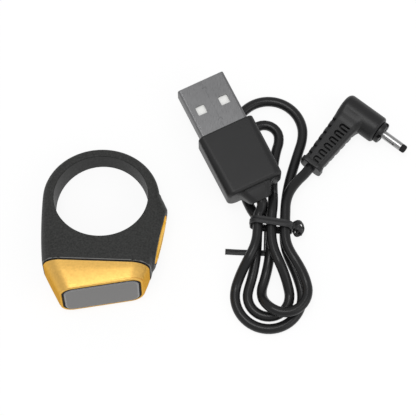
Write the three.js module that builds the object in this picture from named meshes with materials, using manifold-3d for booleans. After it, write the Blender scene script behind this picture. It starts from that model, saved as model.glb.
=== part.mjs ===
// A finger ring that counts recitations, lying on its side beside its tied charging lead.
// Millimetres, +Z up. The ring's head points along -Y and its origin is under the middle of the ring.
import * as THREE from 'three';
import { mergeVertices } from 'three/addons/utils/BufferGeometryUtils.js';
import Module from 'manifold-3d';

const wasm = await Module();
wasm.setup();

const DEGREE = Math.PI / 180;

// Ring: bore and band
const BORE_RADIUS = 11;
const BORE_EDGE_ROUNDING = 0.45;
const BACK_WALL = 2.2;
const SIDE_WALL = 2.7;
const SIDE_TAPER = 7.8 * DEGREE;
const HALF_DEPTH_AT_BORE = 4.5;
const BACK_EDGE_ROUNDING = 0.9;

// Ring: head
const HEAD_NARROWING = 1.2;
const SEAM_CORNER_RADIUS = 4.2;
const SHELL_HEAD_WALL = 1.8;
const SHELL_SIDE_WALL = 1.68;
const FLOOR_THICKNESS = 1.7;
const SHELL_LIP = 0.35;
const GASKET_THICKNESS = 0.2;
const SEAM_CLEARANCE = 0.05;
const FIT_CLEARANCE = 0.1;

// Display, in its own slanted frame
const DISPLAY_SLANT = 11.4 * DEGREE;
const DISPLAY_OFFSET = 1.5;
const WINDOW_HALF = [8.65, 5.35];
const WINDOW_CORNER_RADIUS = 2.2;
const WINDOW_THICKNESS = 1;
const WINDOW_PROUD = 0.25;
const SEAL_WIDTH = 0.32;
const BEZEL_RIM = 0.6;
const LEDGE_WIDTH = 0.95;
const LEDGE_THICKNESS = 0.45;
const BEZEL_WALL = 1.4;
const PANEL_HALF = [7.4, 4.5];
const PANEL_THICKNESS = 1;
const PANEL_GAP = 0.2;

// Counting button, in its own slanted frame
const BUTTON_SLANT = 9.4 * DEGREE;
const BUTTON_STANDS_OUT = 0.65;
const BUTTON_REACH = 8.9;
const CHANNEL_HALF = 1.1;
const TRIM_HALF = [6.2, 3.6];
const TRIM_BAND = 0.85;
const TRIM_THICKNESS = 1.1;
const TRIM_PROUD = -0.1;
const CAP_GAP = 0.12;
const CAP_THICKNESS = 1.35;
const CAP_DISH = 0.55;
const CAP_FLANGE_THICKNESS = 0.45;
const BUTTON_TRAVEL = 0.3;
const STEM_RADIUS = 0.9;
const SWITCH_HALF = [1.5, 1.3];
const SWITCH_THICKNESS = 0.9;
const PLUNGER_RADIUS = 0.8;

// Inner pieces
const BOARD_THICKNESS = 0.8;
const BOARD_STANDOFF = 0.8;
const TALLEST_CHIP = 1;
const CHIP_CLEARANCE = 0.28;
const TRAY_THICKNESS = 0.7;
const BATTERY_HALF_DEPTH = 3.05;
const BATTERY_THICKNESS = 3.1;
const BATTERY_POST_GAP = 1.35;
const BATTERY_PAD_INSET = [1.2, 0.65];
const MOTOR_RADIUS = 1.6;
const MOTOR_SHAFT_RADIUS = 0.35;
const WEIGHT_RADIUS = 1.5;
const WEIGHT_LENGTH = 3;
const WEIGHT_POST_GAP = 1.25;
const MOTOR_BOOT_WALL = 0.1;
const SCREW_RADIUS = 0.6;
const SCREW_HEAD_RADIUS = 1.05;
const SCREW_LENGTH = 2.9;
const SOCKET_HALF = 1.65;
const SOCKET_LENGTH = 6.2;
const SOCKET_BORE_RADIUS = 1.15;
const PIN_RADIUS = 0.3;

// Places that follow from these sizes, measured outwards from the bore's axis
const LANE_HALF = Math.max(SOCKET_HALF, MOTOR_RADIUS + MOTOR_BOOT_WALL + 0.05);
const FLOOR_REACH = BORE_RADIUS + FLOOR_THICKNESS;
const BATTERY_BASE = FLOOR_REACH + FIT_CLEARANCE + 0.2;
const LANE_REACH = FLOOR_REACH + LANE_HALF + 0.05;
const POST_TOP = Math.max(LANE_REACH + LANE_HALF, BATTERY_BASE + BATTERY_THICKNESS + 0.15);
const TRAY_BASE = POST_TOP + FIT_CLEARANCE;
const TRAY_TOP = TRAY_BASE + TRAY_THICKNESS;
const SEAM_REACH = TRAY_TOP + SHELL_LIP;
const BOARD_BASE = TRAY_TOP + BOARD_STANDOFF;
const BOARD_TOP = BOARD_BASE + BOARD_THICKNESS;
const PANEL_TOP = WINDOW_PROUD - WINDOW_THICKNESS - PANEL_GAP;
const PANEL_BOTTOM = PANEL_TOP - PANEL_THICKNESS;
const PANEL_SINKS = PANEL_HALF[0] * Math.sin(DISPLAY_SLANT) - PANEL_BOTTOM * Math.cos(DISPLAY_SLANT);
const DISPLAY_REACH = BOARD_TOP + 0.05 + TALLEST_CHIP + CHIP_CLEARANCE + PANEL_SINKS;
const BUTTON_OUT = BORE_RADIUS + SIDE_WALL + BUTTON_STANDS_OUT;
const SEAM_HALF_WIDTH = BORE_RADIUS + SIDE_WALL - HEAD_NARROWING;

// Charging lead
const CORD_DIAMETER = 2.4;
const CORD_END_GAP = 0.3;
const COLUMN_PITCH = 3.2;
const LAYER_PITCH = 2.87;
const WAIST = [39.1, 2.43];
const WAIST_HALF_LENGTH = 1.6;
const WAIST_LIFT = 1.05;
const LOOP_STEPS = 24;
const TIE_HALF_WIDTH = 0.75;
const USB_WIDTH = 12;
const USB_THICKNESS = 4.5;
const USB_EXPOSED = 13.3;
const USB_INSERT = 3;
const USB_WALL = 0.35;
const GRIP_HALF = [7.1, 3.8];
const GRIP_LENGTH = 16.2;
const NECK_LENGTH = 2.9;
const NECK_DROP = 0.25;
const NECK_TILT = 14 * DEGREE;
const PLUG_REAR = [35.1, 10.1];
const PLUG_HEIGHT = 6.75;
const PLUG_HEADING = [-0.4716, 0.8818];
const ELBOW_RADIUS = 3.4;
const ELBOW_LENGTH = 10.8;
const RELIEF_OFFSET = 3.5;
const RELIEF_LENGTH = 17.6;
const RELIEF_SLOTS = 6;
const RELIEF_ENDS = 2;
const BARREL_RADIUS = 1;
const BARREL_LENGTH = 5.4;
const TIP_LENGTH = 1.3;
const COLLAR_LENGTH = 1.2;
const COLLAR_RADIUS = 2.7;
const ELBOW_MEETING = [58.43, 31.34];
const ELBOW_HEADING = [0.806, -0.592];

// Colours and finishes
function finish(color, roughness, metalness) {
  return new THREE.MeshStandardMaterial({ color, roughness, metalness });
}

const BLACK_BODY = finish(0x383736, 0.55, 0);
const GOLD = finish(0xe7b85e, 0.32, 1);
const GLASS = finish(0x77736e, 0.08, 0);
const RUBBER = finish(0x17171a, 0.8, 0);
const PANEL = finish(0x1c2026, 0.2, 0);
const PCB = finish(0x1f5a3a, 0.5, 0);
const CHIP = finish(0x202124, 0.5, 0);
const CERAMIC = finish(0xd8d4c8, 0.5, 0);
const STEEL = finish(0xa9abad, 0.3, 1);
const POLYIMIDE = finish(0xb5722a, 0.4, 0);
const FOIL = finish(0xbfc2c6, 0.35, 0.8);
const TRAY = finish(0x45474a, 0.6, 0);
const WHITE_PLASTIC = finish(0xe9e9e6, 0.5, 0);
const CORD_SKIN = finish(0x2b2b2d, 0.55, 0);
const COPPER = finish(0xc98a4b, 0.3, 1);

// Solids and meshes
function solid(geometry) {
  const bare = new THREE.BufferGeometry();
  bare.setAttribute('position', geometry.getAttribute('position').clone());
  if (geometry.index) bare.setIndex(geometry.index.clone());
  const merged = mergeVertices(bare, 1e-5);
  return new wasm.Manifold(new wasm.Mesh({
    numProp: 3,
    vertProperties: new Float32Array(merged.getAttribute('position').array),
    triVerts: new Uint32Array(merged.index.array),
  }));
}

function geometryOf(body) {
  const mesh = body.getMesh();
  const geometry = new THREE.BufferGeometry();
  const positions = new Float32Array(mesh.numVert * 3);
  for (let i = 0; i < mesh.numVert; i++) {
    for (let axis = 0; axis < 3; axis++) {
      positions[i * 3 + axis] = mesh.vertProperties[i * mesh.numProp + axis];
    }
  }
  geometry.setAttribute('position', new THREE.BufferAttribute(positions, 3));
  geometry.setIndex(new THREE.BufferAttribute(new Uint32Array(mesh.triVerts), 1));
  return geometry;
}

function piece(parent, name, shape, material) {
  const geometry = shape instanceof THREE.BufferGeometry ? shape : geometryOf(shape);
  const mesh = new THREE.Mesh(geometry, material);
  mesh.name = name;
  parent.add(mesh);
  return mesh;
}

// A closed body through rings of equal count. Each ring turns anticlockwise seen from the last one.
function loft(rings) {
  const count = rings[0].length;
  const positions = [];
  const triangles = [];
  for (const ring of rings) {
    for (const point of ring) positions.push(point.x, point.y, point.z);
  }
  for (let r = 0; r + 1 < rings.length; r++) {
    for (let i = 0; i < count; i++) {
      const a = r * count + i;
      const b = r * count + (i + 1) % count;
      triangles.push(a, b, b + count, a, b + count, a + count);
    }
  }
  const ends = [[rings[0], 0, true], [rings.at(-1), (rings.length - 1) * count, false]];
  for (const [ring, base, first] of ends) {
    const middle = ring.reduce((sum, point) => sum.add(point), new THREE.Vector3()).divideScalar(count);
    const centre = positions.length / 3;
    positions.push(middle.x, middle.y, middle.z);
    for (let i = 0; i < count; i++) {
      const a = base + i;
      const b = base + (i + 1) % count;
      if (first) triangles.push(centre, b, a);
      else triangles.push(centre, a, b);
    }
  }
  const geometry = new THREE.BufferGeometry();
  geometry.setAttribute('position', new THREE.Float32BufferAttribute(positions, 3));
  geometry.setIndex(triangles);
  return geometry;
}

// Flat outlines
function roundedRectangle(halfX, halfY, radius, centre = [0, 0]) {
  const shape = new THREE.Shape();
  const [x, y] = centre;
  shape.absarc(x + halfX - radius, y + halfY - radius, radius, 0, Math.PI / 2);
  shape.absarc(x - halfX + radius, y + halfY - radius, radius, Math.PI / 2, Math.PI);
  shape.absarc(x - halfX + radius, y - halfY + radius, radius, Math.PI, Math.PI * 1.5);
  shape.absarc(x + halfX - radius, y - halfY + radius, radius, Math.PI * 1.5, Math.PI * 2);
  return shape;
}

function oval(halfX, halfY) {
  const shape = new THREE.Shape();
  shape.absellipse(0, 0, halfX, halfY, 0, Math.PI * 2);
  return shape;
}

function prism(shape, from, to, curveSegments = 6) {
  const options = { depth: to - from, bevelEnabled: false, curveSegments };
  const geometry = new THREE.ExtrudeGeometry(shape, options);
  geometry.translate(0, 0, from);
  return solid(geometry);
}

function block(x, y, z) {
  const geometry = new THREE.BoxGeometry(x[1] - x[0], y[1] - y[0], z[1] - z[0]);
  geometry.translate((x[0] + x[1]) / 2, (y[0] + y[1]) / 2, (z[0] + z[1]) / 2);
  return solid(geometry);
}

// A round body along Z, from pairs of radius and height.
// The pairs start and end on the axis, or close on themselves.
function turned(profile, segments = 24) {
  const geometry = new THREE.LatheGeometry(profile.map(([r, z]) => new THREE.Vector2(r, z)), segments);
  geometry.rotateX(Math.PI / 2);
  return solid(geometry);
}

function rod(radius, from, to, segments = 20) {
  return turned([[0, from], [radius, from], [radius, to], [0, to]], segments);
}

function ovalRing(halfX, halfY, height, count) {
  return Array.from({ length: count }, (_, i) => {
    const angle = (i / count) * Math.PI * 2;
    return new THREE.Vector3(halfX * Math.cos(angle), halfY * Math.sin(angle), height);
  });
}

function rectangleRing(halfX, halfY, radius, height, perCorner = 6) {
  const ring = [];
  for (let corner = 0; corner < 4; corner++) {
    const signX = corner === 0 || corner === 3 ? 1 : -1;
    const signY = corner < 2 ? 1 : -1;
    for (let i = 0; i <= perCorner; i++) {
      const angle = (corner + i / perCorner) * Math.PI / 2;
      const x = signX * (halfX - radius) + radius * Math.cos(angle);
      const y = signY * (halfY - radius) + radius * Math.sin(angle);
      ring.push(new THREE.Vector3(x, y, height));
    }
  }
  return ring;
}

const moved = (body, frame) => body.transform(frame.elements);
const turnedAboutX = (angle) => new THREE.Matrix4().makeRotationX(angle);

// A thin ribbon of constant thickness that follows points in the X-Z plane, extruded along Y
function ribbon(points, thickness, width) {
  const sides = [[], []];
  points.forEach(([x, z], i) => {
    const before = points[Math.max(i - 1, 0)];
    const after = points[Math.min(i + 1, points.length - 1)];
    const along = new THREE.Vector2(after[0] - before[0], after[1] - before[1]).normalize();
    const halfThickness = thickness / 2;
    sides[0].push(new THREE.Vector2(x - along.y * halfThickness, z + along.x * halfThickness));
    sides[1].push(new THREE.Vector2(x + along.y * halfThickness, z - along.x * halfThickness));
  });
  const outline = new THREE.Shape([...sides[1], ...sides[0].reverse()]);
  const geometry = new THREE.ExtrudeGeometry(outline, { depth: width, bevelEnabled: false });
  geometry.translate(0, 0, -width / 2);
  geometry.rotateX(Math.PI / 2);
  return solid(geometry);
}

const halfDepthAt = (y) => HALF_DEPTH_AT_BORE - Math.tan(SIDE_TAPER) * y;
const SEAM_HALF_DEPTH = halfDepthAt(-SEAM_REACH);
const CAVITY_HALF = [SEAM_HALF_WIDTH - SHELL_HEAD_WALL, SEAM_HALF_DEPTH - SHELL_SIDE_WALL];
const BOARD_HALF = [CAVITY_HALF[0] - 0.8, CAVITY_HALF[1] - 0.5];
const TRAY_HALF = [CAVITY_HALF[0] - 0.3, CAVITY_HALF[1] - 0.3];
const LANE_Y = -(CAVITY_HALF[1] - LANE_HALF - 0.1);
const RIBBON_LANE = CAVITY_HALF[0] - 0.4;

// Frames of the ring: the head frame has X across, Y along the bore's axis and Z outwards through the head
const HEAD = turnedAboutX(Math.PI / 2);
const turnedAboutY = (angle) => new THREE.Matrix4().makeRotationY(angle);
const DISPLAY = turnedAboutY(DISPLAY_SLANT).setPosition(DISPLAY_OFFSET, 0, DISPLAY_REACH);
const BUTTON = turnedAboutY(Math.PI / 2 - BUTTON_SLANT).setPosition(BUTTON_OUT, 0, BUTTON_REACH);
const LANE = turnedAboutY(Math.PI / 2).setPosition(0, LANE_Y, LANE_REACH);

// The outer form of the band and head, drawn past the seam and rounded along its edges
function bandForm() {
  const side = BORE_RADIUS + SIDE_WALL;
  const back = BORE_RADIUS + BACK_WALL;
  const past = SEAM_REACH + 4;
  const outline = new THREE.Shape();
  outline.moveTo(SEAM_HALF_WIDTH - 0.6, -past);
  outline.lineTo(SEAM_HALF_WIDTH, -SEAM_REACH);
  const flare = [SEAM_HALF_WIDTH + 0.7, -SEAM_REACH + 4.4];
  outline.bezierCurveTo(...flare, side + 0.05, -6, side, 0);
  outline.absellipse(0, 0, side, back, 0, Math.PI);
  outline.bezierCurveTo(-side - 0.05, -6, -flare[0], flare[1], -SEAM_HALF_WIDTH, -SEAM_REACH);
  outline.lineTo(-SEAM_HALF_WIDTH + 0.6, -past);
  const points = outline.getPoints(11);
  const cornerPerLength = (SEAM_CORNER_RADIUS - BACK_EDGE_ROUNDING) / (SEAM_REACH + back);
  const rounding = (y) => BACK_EDGE_ROUNDING + cornerPerLength * (back - y);
  const inward = points.map((point, i) => {
    const before = points[(i + points.length - 1) % points.length];
    const after = points[(i + 1) % points.length];
    return new THREE.Vector2(before.y - after.y, after.x - before.x).normalize();
  });
  const rings = [];
  const steps = 4;
  for (const sign of [-1, 1]) {
    for (let k = 0; k <= steps; k++) {
      const angle = (sign < 0 ? steps - k : k) / steps * Math.PI / 2;
      rings.push(points.map((point, i) => {
        const radius = rounding(point.y);
        const inset = radius * (1 - Math.cos(angle));
        const x = point.x + inward[i].x * inset;
        const y = point.y + inward[i].y * inset;
        return new THREE.Vector3(x, y, sign * (halfDepthAt(y) - radius * (1 - Math.sin(angle))));
      }));
    }
  }
  return solid(loft(rings));
}

// The finger bore, widened by a rounding where it meets the two tapered faces
function boreCutter() {
  const count = 64;
  const steps = 3;
  const rings = [];
  const ringAt = (radius, sign, drop) => Array.from({ length: count }, (_, i) => {
    const angle = (i / count) * Math.PI * 2;
    const y = radius * Math.sin(angle);
    return new THREE.Vector3(radius * Math.cos(angle), y, sign * (halfDepthAt(y) - drop));
  });
  const past = 3;
  rings.push(ringAt(BORE_RADIUS + BORE_EDGE_ROUNDING, -1, -past));
  for (let k = 0; k <= steps; k++) {
    const angle = (1 - k / steps) * Math.PI / 2;
    const widening = BORE_EDGE_ROUNDING * (1 - Math.cos(angle));
    rings.push(ringAt(BORE_RADIUS + widening, -1, BORE_EDGE_ROUNDING * (1 - Math.sin(angle))));
  }
  for (let k = 0; k <= steps; k++) {
    const angle = (k / steps) * Math.PI / 2;
    const widening = BORE_EDGE_ROUNDING * (1 - Math.cos(angle));
    rings.push(ringAt(BORE_RADIUS + widening, 1, BORE_EDGE_ROUNDING * (1 - Math.sin(angle))));
  }
  rings.push(ringAt(BORE_RADIUS + BORE_EDGE_ROUNDING, 1, -past));
  return solid(loft(rings));
}

// The raised oval pad round the button, in the button frame
function buttonPad() {
  const topX = TRIM_HALF[0] + 1.3;
  const topY = TRIM_HALF[1] + 0.7;
  const sections = [[3.9, 0.9, -3.4], [3.5, 0.85, -2.4], [1.8, 0.65, -1.2], [0.45, 0.35, -0.25], [0, 0, 0]];
  const rings = sections.map(([wideX, wideY, z]) => ovalRing(topX + wideX, topY + wideY, z, 40));
  return solid(loft(rings));
}

const CAP_HALF = TRIM_HALF.map((half) => half - TRIM_BAND - CAP_GAP);
const FLANGE_HALF = CAP_HALF.map((half) => half + CAP_GAP + 0.3);
const RECESS_FLOOR = TRIM_PROUD - TRIM_THICKNESS - FIT_CLEARANCE;
const FLANGE_FLOOR = -CAP_THICKNESS - CAP_FLANGE_THICKNESS;
const WELL_FLOOR = FLANGE_FLOOR - BUTTON_TRAVEL - 0.2;
const SWITCH_TOP = WELL_FLOOR - 0.6;
const SWITCH_BOTTOM = SWITCH_TOP - SWITCH_THICKNESS;
const POCKET_FLOOR = SWITCH_BOTTOM - 0.6;

function buttonCuts() {
  const recess = prism(oval(TRIM_HALF[0] + 0.05, TRIM_HALF[1] + 0.05), RECESS_FLOOR, 1, 20);
  const well = prism(oval(FLANGE_HALF[0] + 0.12, FLANGE_HALF[1] + 0.12), WELL_FLOOR, 1, 20);
  const pocket = prism(roundedRectangle(2.2, 1.75, 0.3), POCKET_FLOOR, 0, 3);
  return moved(recess.add(well).add(pocket), BUTTON);
}

const CAVITY_CORNER_RADIUS = 1.2;
const POST_RADIUS = 1.15;
const SCREW_X = CAVITY_HALF[0] - 1.5;
const SCREW_Y = CAVITY_HALF[1] - 1.8;
const SCREW_PLACES = [[-SCREW_X, SCREW_Y], [SCREW_X, -SCREW_Y], [SCREW_X, SCREW_Y]];
const SOCKET_START = -CAVITY_HALF[0] + 0.65;

function ringShell() {
  const past = 40;
  const behindSeam = block([-past, past], [-SEAM_REACH, past], [-past, past]);
  const pad = moved(moved(buttonPad(), BUTTON), HEAD);
  const outside = bandForm().add(pad).intersect(behindSeam).subtract(boreCutter());
  const cavity = prism(roundedRectangle(...CAVITY_HALF, CAVITY_CORNER_RADIUS), FLOOR_REACH, SEAM_REACH + 1);
  const channelStart = new THREE.Vector3(0, 0, POCKET_FLOOR).applyMatrix4(BUTTON).z;
  const channel = block([RIBBON_LANE - 0.6, RIBBON_LANE + 0.6], [-CHANNEL_HALF, CHANNEL_HALF],
    [channelStart, FLOOR_REACH + 0.5]);
  const socketHole = rod(SOCKET_BORE_RADIUS + 0.05, -past / 2, SOCKET_START, 24);
  const mouth = -SEAM_HALF_WIDTH + 0.15;
  const socketMouth = turned([[0, -past / 2], [2, -past / 2], [2, mouth - 0.4],
    [SOCKET_BORE_RADIUS + 0.05, mouth], [0, mouth]], 24);
  const cuts = cavity.add(channel).add(buttonCuts()).add(moved(socketHole.add(socketMouth), LANE));
  let shell = outside.subtract(moved(cuts, HEAD));
  for (const [x, y] of SCREW_PLACES) {
    const post = rod(POST_RADIUS, FLOOR_REACH - 0.3, POST_TOP).translate([x, y, 0]);
    const pilot = rod(SCREW_RADIUS + FIT_CLEARANCE, FLOOR_REACH + 0.6, POST_TOP + 1, 16);
    shell = shell.add(moved(post, HEAD)).subtract(moved(pilot.translate([x, y, 0]), HEAD));
  }
  return shell;
}

// Head pieces that share the seam's outline
const GASKET_BASE = SEAM_REACH + SEAM_CLEARANCE;
const BEZEL_BASE = GASKET_BASE + GASKET_THICKNESS + SEAM_CLEARANCE;

function seamGasket() {
  const within = (inset) => {
    return roundedRectangle(SEAM_HALF_WIDTH - inset, SEAM_HALF_DEPTH - inset, SEAM_CORNER_RADIUS - inset);
  };
  const band = prism(within(0.12), GASKET_BASE, GASKET_BASE + GASKET_THICKNESS);
  return band.subtract(prism(within(1.2), GASKET_BASE - 1, GASKET_BASE + 1));
}

const RECESS_HALF = WINDOW_HALF.map((half) => half + SEAL_WIDTH + 0.18);
const RECESS_RADIUS = WINDOW_CORNER_RADIUS + SEAL_WIDTH + 0.13;
const RECESS_DEPTH = WINDOW_THICKNESS - WINDOW_PROUD + FIT_CLEARANCE;
const CROWN_HALF = RECESS_HALF.map((half) => half + BEZEL_RIM);

const onDisplay = (ring) => ring.map((point) => point.clone().applyMatrix4(DISPLAY));
const blended = (low, high, share) => low.map((point, i) => point.clone().lerp(high[i], share));

function bezel() {
  const atSeam = (wider, deeper) => {
    const half = [SEAM_HALF_WIDTH + wider, SEAM_HALF_DEPTH + deeper];
    return rectangleRing(...half, SEAM_CORNER_RADIUS, BEZEL_BASE, 8);
  };
  const atCrown = (inset, z) => {
    const radius = RECESS_RADIUS + BEZEL_RIM - inset;
    return onDisplay(rectangleRing(CROWN_HALF[0] - inset, CROWN_HALF[1] - inset, radius, z, 8));
  };
  const edge = atCrown(0, -0.12);
  const swollen = atSeam(0.25, 0.18);
  const wall = [0.35, 0.7].map((share) => blended(swollen, edge, share));
  const outside = [atSeam(0, 0), ...wall, edge, atCrown(0.12, 0)];
  const innerHalf = [SEAM_HALF_WIDTH - BEZEL_WALL, SEAM_HALF_DEPTH - BEZEL_WALL];
  const innerBase = rectangleRing(...innerHalf, 3, BEZEL_BASE - 1);
  const ledgeUnder = -RECESS_DEPTH - LEDGE_THICKNESS;
  const innerTop = rectangleRing(RECESS_HALF[0] - 0.4, RECESS_HALF[1] - 0.75, 1.6, ledgeUnder);
  const hollow = solid(loft([innerBase, onDisplay(innerTop)]));
  const recess = prism(roundedRectangle(...RECESS_HALF, RECESS_RADIUS), -RECESS_DEPTH, 2);
  const openingShape = roundedRectangle(RECESS_HALF[0] - LEDGE_WIDTH, RECESS_HALF[1] - 1.1, 1.5);
  const opening = prism(openingShape, ledgeUnder - 0.5, 0);
  return solid(loft(outside)).subtract(hollow).subtract(moved(recess.add(opening), DISPLAY));
}

function windowSeal() {
  const gap = 0.08;
  const reach = SEAL_WIDTH + gap;
  const outer = roundedRectangle(WINDOW_HALF[0] + reach, WINDOW_HALF[1] + reach, RECESS_RADIUS - 0.1);
  const inner = roundedRectangle(WINDOW_HALF[0] + gap, WINDOW_HALF[1] + gap, WINDOW_CORNER_RADIUS + gap);
  const bottom = WINDOW_PROUD - WINDOW_THICKNESS;
  return prism(outer, bottom, 0).subtract(prism(inner, bottom - 1, 1));
}

function displayWindow() {
  const rings = [[0, WINDOW_PROUD - WINDOW_THICKNESS], [0, 0.02], [0.07, 0.17], [0.25, WINDOW_PROUD]];
  return solid(loft(rings.map(([inset, z]) => rectangleRing(WINDOW_HALF[0] - inset, WINDOW_HALF[1] - inset,
    WINDOW_CORNER_RADIUS - inset, z))));
}

function displayCarrier() {
  const centre = [DISPLAY_OFFSET - 0.3, 0];
  const halfX = PANEL_HALF[0] + 0.7;
  const outerShape = roundedRectangle(halfX, BOARD_HALF[1], 1.2, centre);
  const innerShape = roundedRectangle(halfX - 1.1, BOARD_HALF[1] - 0.9, 0.8, centre);
  const outer = prism(outerShape, BOARD_TOP + FIT_CLEARANCE, DISPLAY_REACH + 2, 4);
  const inner = prism(innerShape, BOARD_TOP - 1, DISPLAY_REACH + 3, 4);
  const below = moved(block([-30, 30], [-30, 30], [-30, PANEL_BOTTOM - FIT_CLEARANCE]), DISPLAY);
  return outer.subtract(inner).intersect(below);
}

function tray() {
  let body = prism(roundedRectangle(...TRAY_HALF, 2.2), TRAY_BASE, TRAY_TOP);
  for (const [x, y] of SCREW_PLACES) {
    body = body.subtract(rod(SCREW_RADIUS + 0.15, TRAY_BASE - 1, TRAY_TOP + 1, 16).translate([x, y, 0]));
  }
  const legX = BOARD_HALF[0] - 3.9;
  const legY = BOARD_HALF[1] - 0.8;
  for (const [x, y] of [[-legX, legY], [legX, legY], [-legX, -legY], [legX, -legY]]) {
    body = body.add(rod(0.7, TRAY_BASE + 0.2, BOARD_BASE - FIT_CLEARANCE, 12).translate([x, y, 0]));
  }
  const notchHalf = CHANNEL_HALF + 0.2;
  const notch = block([RIBBON_LANE - 0.5, CAVITY_HALF[0] + 1], [-notchHalf, notchHalf],
    [TRAY_BASE - 1, TRAY_TOP + 1]);
  return body.subtract(notch);
}

function screw() {
  const underHead = TRAY_TOP + 0.05;
  const headTop = underHead + 0.6;
  const tip = underHead - SCREW_LENGTH;
  const shank = [[0, tip], [SCREW_RADIUS * 0.6, tip], [SCREW_RADIUS, tip + 0.4], [SCREW_RADIUS, underHead]];
  const screwHead = [[SCREW_HEAD_RADIUS, underHead], [SCREW_HEAD_RADIUS, headTop - 0.15],
    [SCREW_HEAD_RADIUS - 0.15, headTop], [0, headTop]];
  const body = turned([...shank, ...screwHead], 16);
  const slot = block([-0.8, 0.8], [-0.12, 0.12], [headTop - 0.3, headTop + 1]);
  const cross = block([-0.12, 0.12], [-0.8, 0.8], [headTop - 0.3, headTop + 1]);
  return body.subtract(slot).subtract(cross);
}

function pillow(halfX, halfY, from, to, rounding, corner, centre) {
  const rings = [[rounding, from], [rounding * 0.3, from + rounding * 0.3], [0, from + rounding],
    [0, to - rounding], [rounding * 0.3, to - rounding * 0.3], [rounding, to]];
  const geometry = loft(rings.map(([inset, z]) => {
    return rectangleRing(halfX - inset, halfY - inset, corner - inset, z, 4);
  }));
  geometry.translate(centre[0], centre[1], 0);
  return solid(geometry);
}

// Ring groups: the outer one lays the ring on its tapered side
const ring = new THREE.Group();
ring.rotation.x = -SIDE_TAPER;
const head = new THREE.Group();
head.rotation.x = Math.PI / 2;
ring.add(head);
const display = new THREE.Group();
display.position.set(DISPLAY_OFFSET, 0, DISPLAY_REACH);
display.rotation.y = DISPLAY_SLANT;
head.add(display);
const button = new THREE.Group();
button.position.set(BUTTON_OUT, 0, BUTTON_REACH);
button.rotation.y = Math.PI / 2 - BUTTON_SLANT;
head.add(button);
const lane = new THREE.Group();
lane.position.set(0, LANE_Y, LANE_REACH);
lane.rotation.y = Math.PI / 2;
head.add(lane);

function addHousing() {
  piece(ring, 'ring_shell', ringShell(), BLACK_BODY);
  piece(head, 'seam_gasket', seamGasket(), RUBBER);
  piece(head, 'gold_bezel', bezel(), GOLD);
  piece(display, 'window_seal', windowSeal(), RUBBER);
  piece(display, 'display_window', displayWindow(), GLASS);
}

function addDisplay() {
  const panel = prism(roundedRectangle(...PANEL_HALF, 0.4), PANEL_BOTTOM, PANEL_TOP, 3);
  piece(display, 'display_panel', panel, PANEL);
  piece(head, 'display_carrier', displayCarrier(), TRAY);
  const panelMiddle = (PANEL_TOP + PANEL_BOTTOM) / 2;
  const top = new THREE.Vector3(-PANEL_HALF[0] - 0.1, 0, panelMiddle).applyMatrix4(DISPLAY);
  const onBoard = BOARD_TOP + 0.14;
  const foot = 0.6 - BOARD_HALF[0];
  const route = [[top.x, top.z], [top.x - 0.8, top.z - 0.25], [top.x - 1.4, top.z - 1.1],
    [foot + 1.7, onBoard + 1.2], [foot + 1.4, onBoard + 0.35], [foot + 0.9, onBoard], [foot, onBoard]];
  piece(head, 'display_ribbon', ribbon(route, 0.12, 5), POLYIMIDE);
}

function addBoard() {
  piece(head, 'main_board', prism(roundedRectangle(...BOARD_HALF, 2), BOARD_BASE, BOARD_TOP), PCB);
  const seat = BOARD_TOP + 0.05;
  const chips = [
    ['bluetooth_controller', [-2.6, 0], [2.5, 2.5], 0.8, CHIP],
    ['memory_chip', [2.4, 1.9], [1.5, 1.5], 0.6, CHIP],
    ['charge_controller', [2.3, -2.2], [1, 1], 0.75, CHIP],
    ['clock_crystal', [5.3, 2.3], [1, 0.8], 0.5, STEEL],
    ['chip_antenna', [6.2, -2.6], [1.6, 0.8], TALLEST_CHIP, CERAMIC],
    ['capacitor_1', [5, 0.4], [0.5, 0.25], 0.5, CERAMIC],
    ['capacitor_2', [5, -0.6], [0.5, 0.25], 0.5, CERAMIC],
    ['capacitor_3', [7, 0.4], [0.5, 0.25], 0.5, CERAMIC],
  ];
  for (const [name, centre, half, height, material] of chips) {
    piece(head, name, prism(roundedRectangle(...half, 0.1, centre), seat, seat + height, 1), material);
  }
}

function addTrayAndBattery() {
  piece(head, 'tray', tray(), TRAY);
  SCREW_PLACES.forEach(([x, y], i) => {
    piece(head, `tray_screw_${i + 1}`, screw(), STEEL).position.set(x, y, 0);
  });
  const half = [SCREW_X - POST_RADIUS - BATTERY_POST_GAP, BATTERY_HALF_DEPTH];
  const centre = [0.3, CAVITY_HALF[1] - half[1] - 0.3];
  const pad = roundedRectangle(half[0] - BATTERY_PAD_INSET[0], half[1] - BATTERY_PAD_INSET[1], 0.3, centre);
  piece(head, 'battery_pad', prism(pad, FLOOR_REACH + FIT_CLEARANCE, BATTERY_BASE - 0.05, 2), RUBBER);
  const cell = pillow(...half, BATTERY_BASE, BATTERY_BASE + BATTERY_THICKNESS, 0.7, 0.9, centre);
  piece(head, 'battery_cell', cell, FOIL);
  const boardX = centre[0] + half[0] + 0.3;
  const boardY = [centre[1] - half[1] + 0.4, centre[1] + half[1] - 0.4];
  const boardZ = [BATTERY_BASE + 0.2, BATTERY_BASE + BATTERY_THICKNESS - 0.2];
  piece(head, 'battery_board', block([boardX, boardX + 0.5], boardY, boardZ), PCB);
}

const MOTOR_START = SOCKET_START + SOCKET_LENGTH + 0.25;
const WEIGHT_START = SCREW_X - POST_RADIUS - WEIGHT_POST_GAP - WEIGHT_LENGTH;
const MOTOR_END = WEIGHT_START - 0.9;
const SHAFT_START = MOTOR_END - 3;

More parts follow.
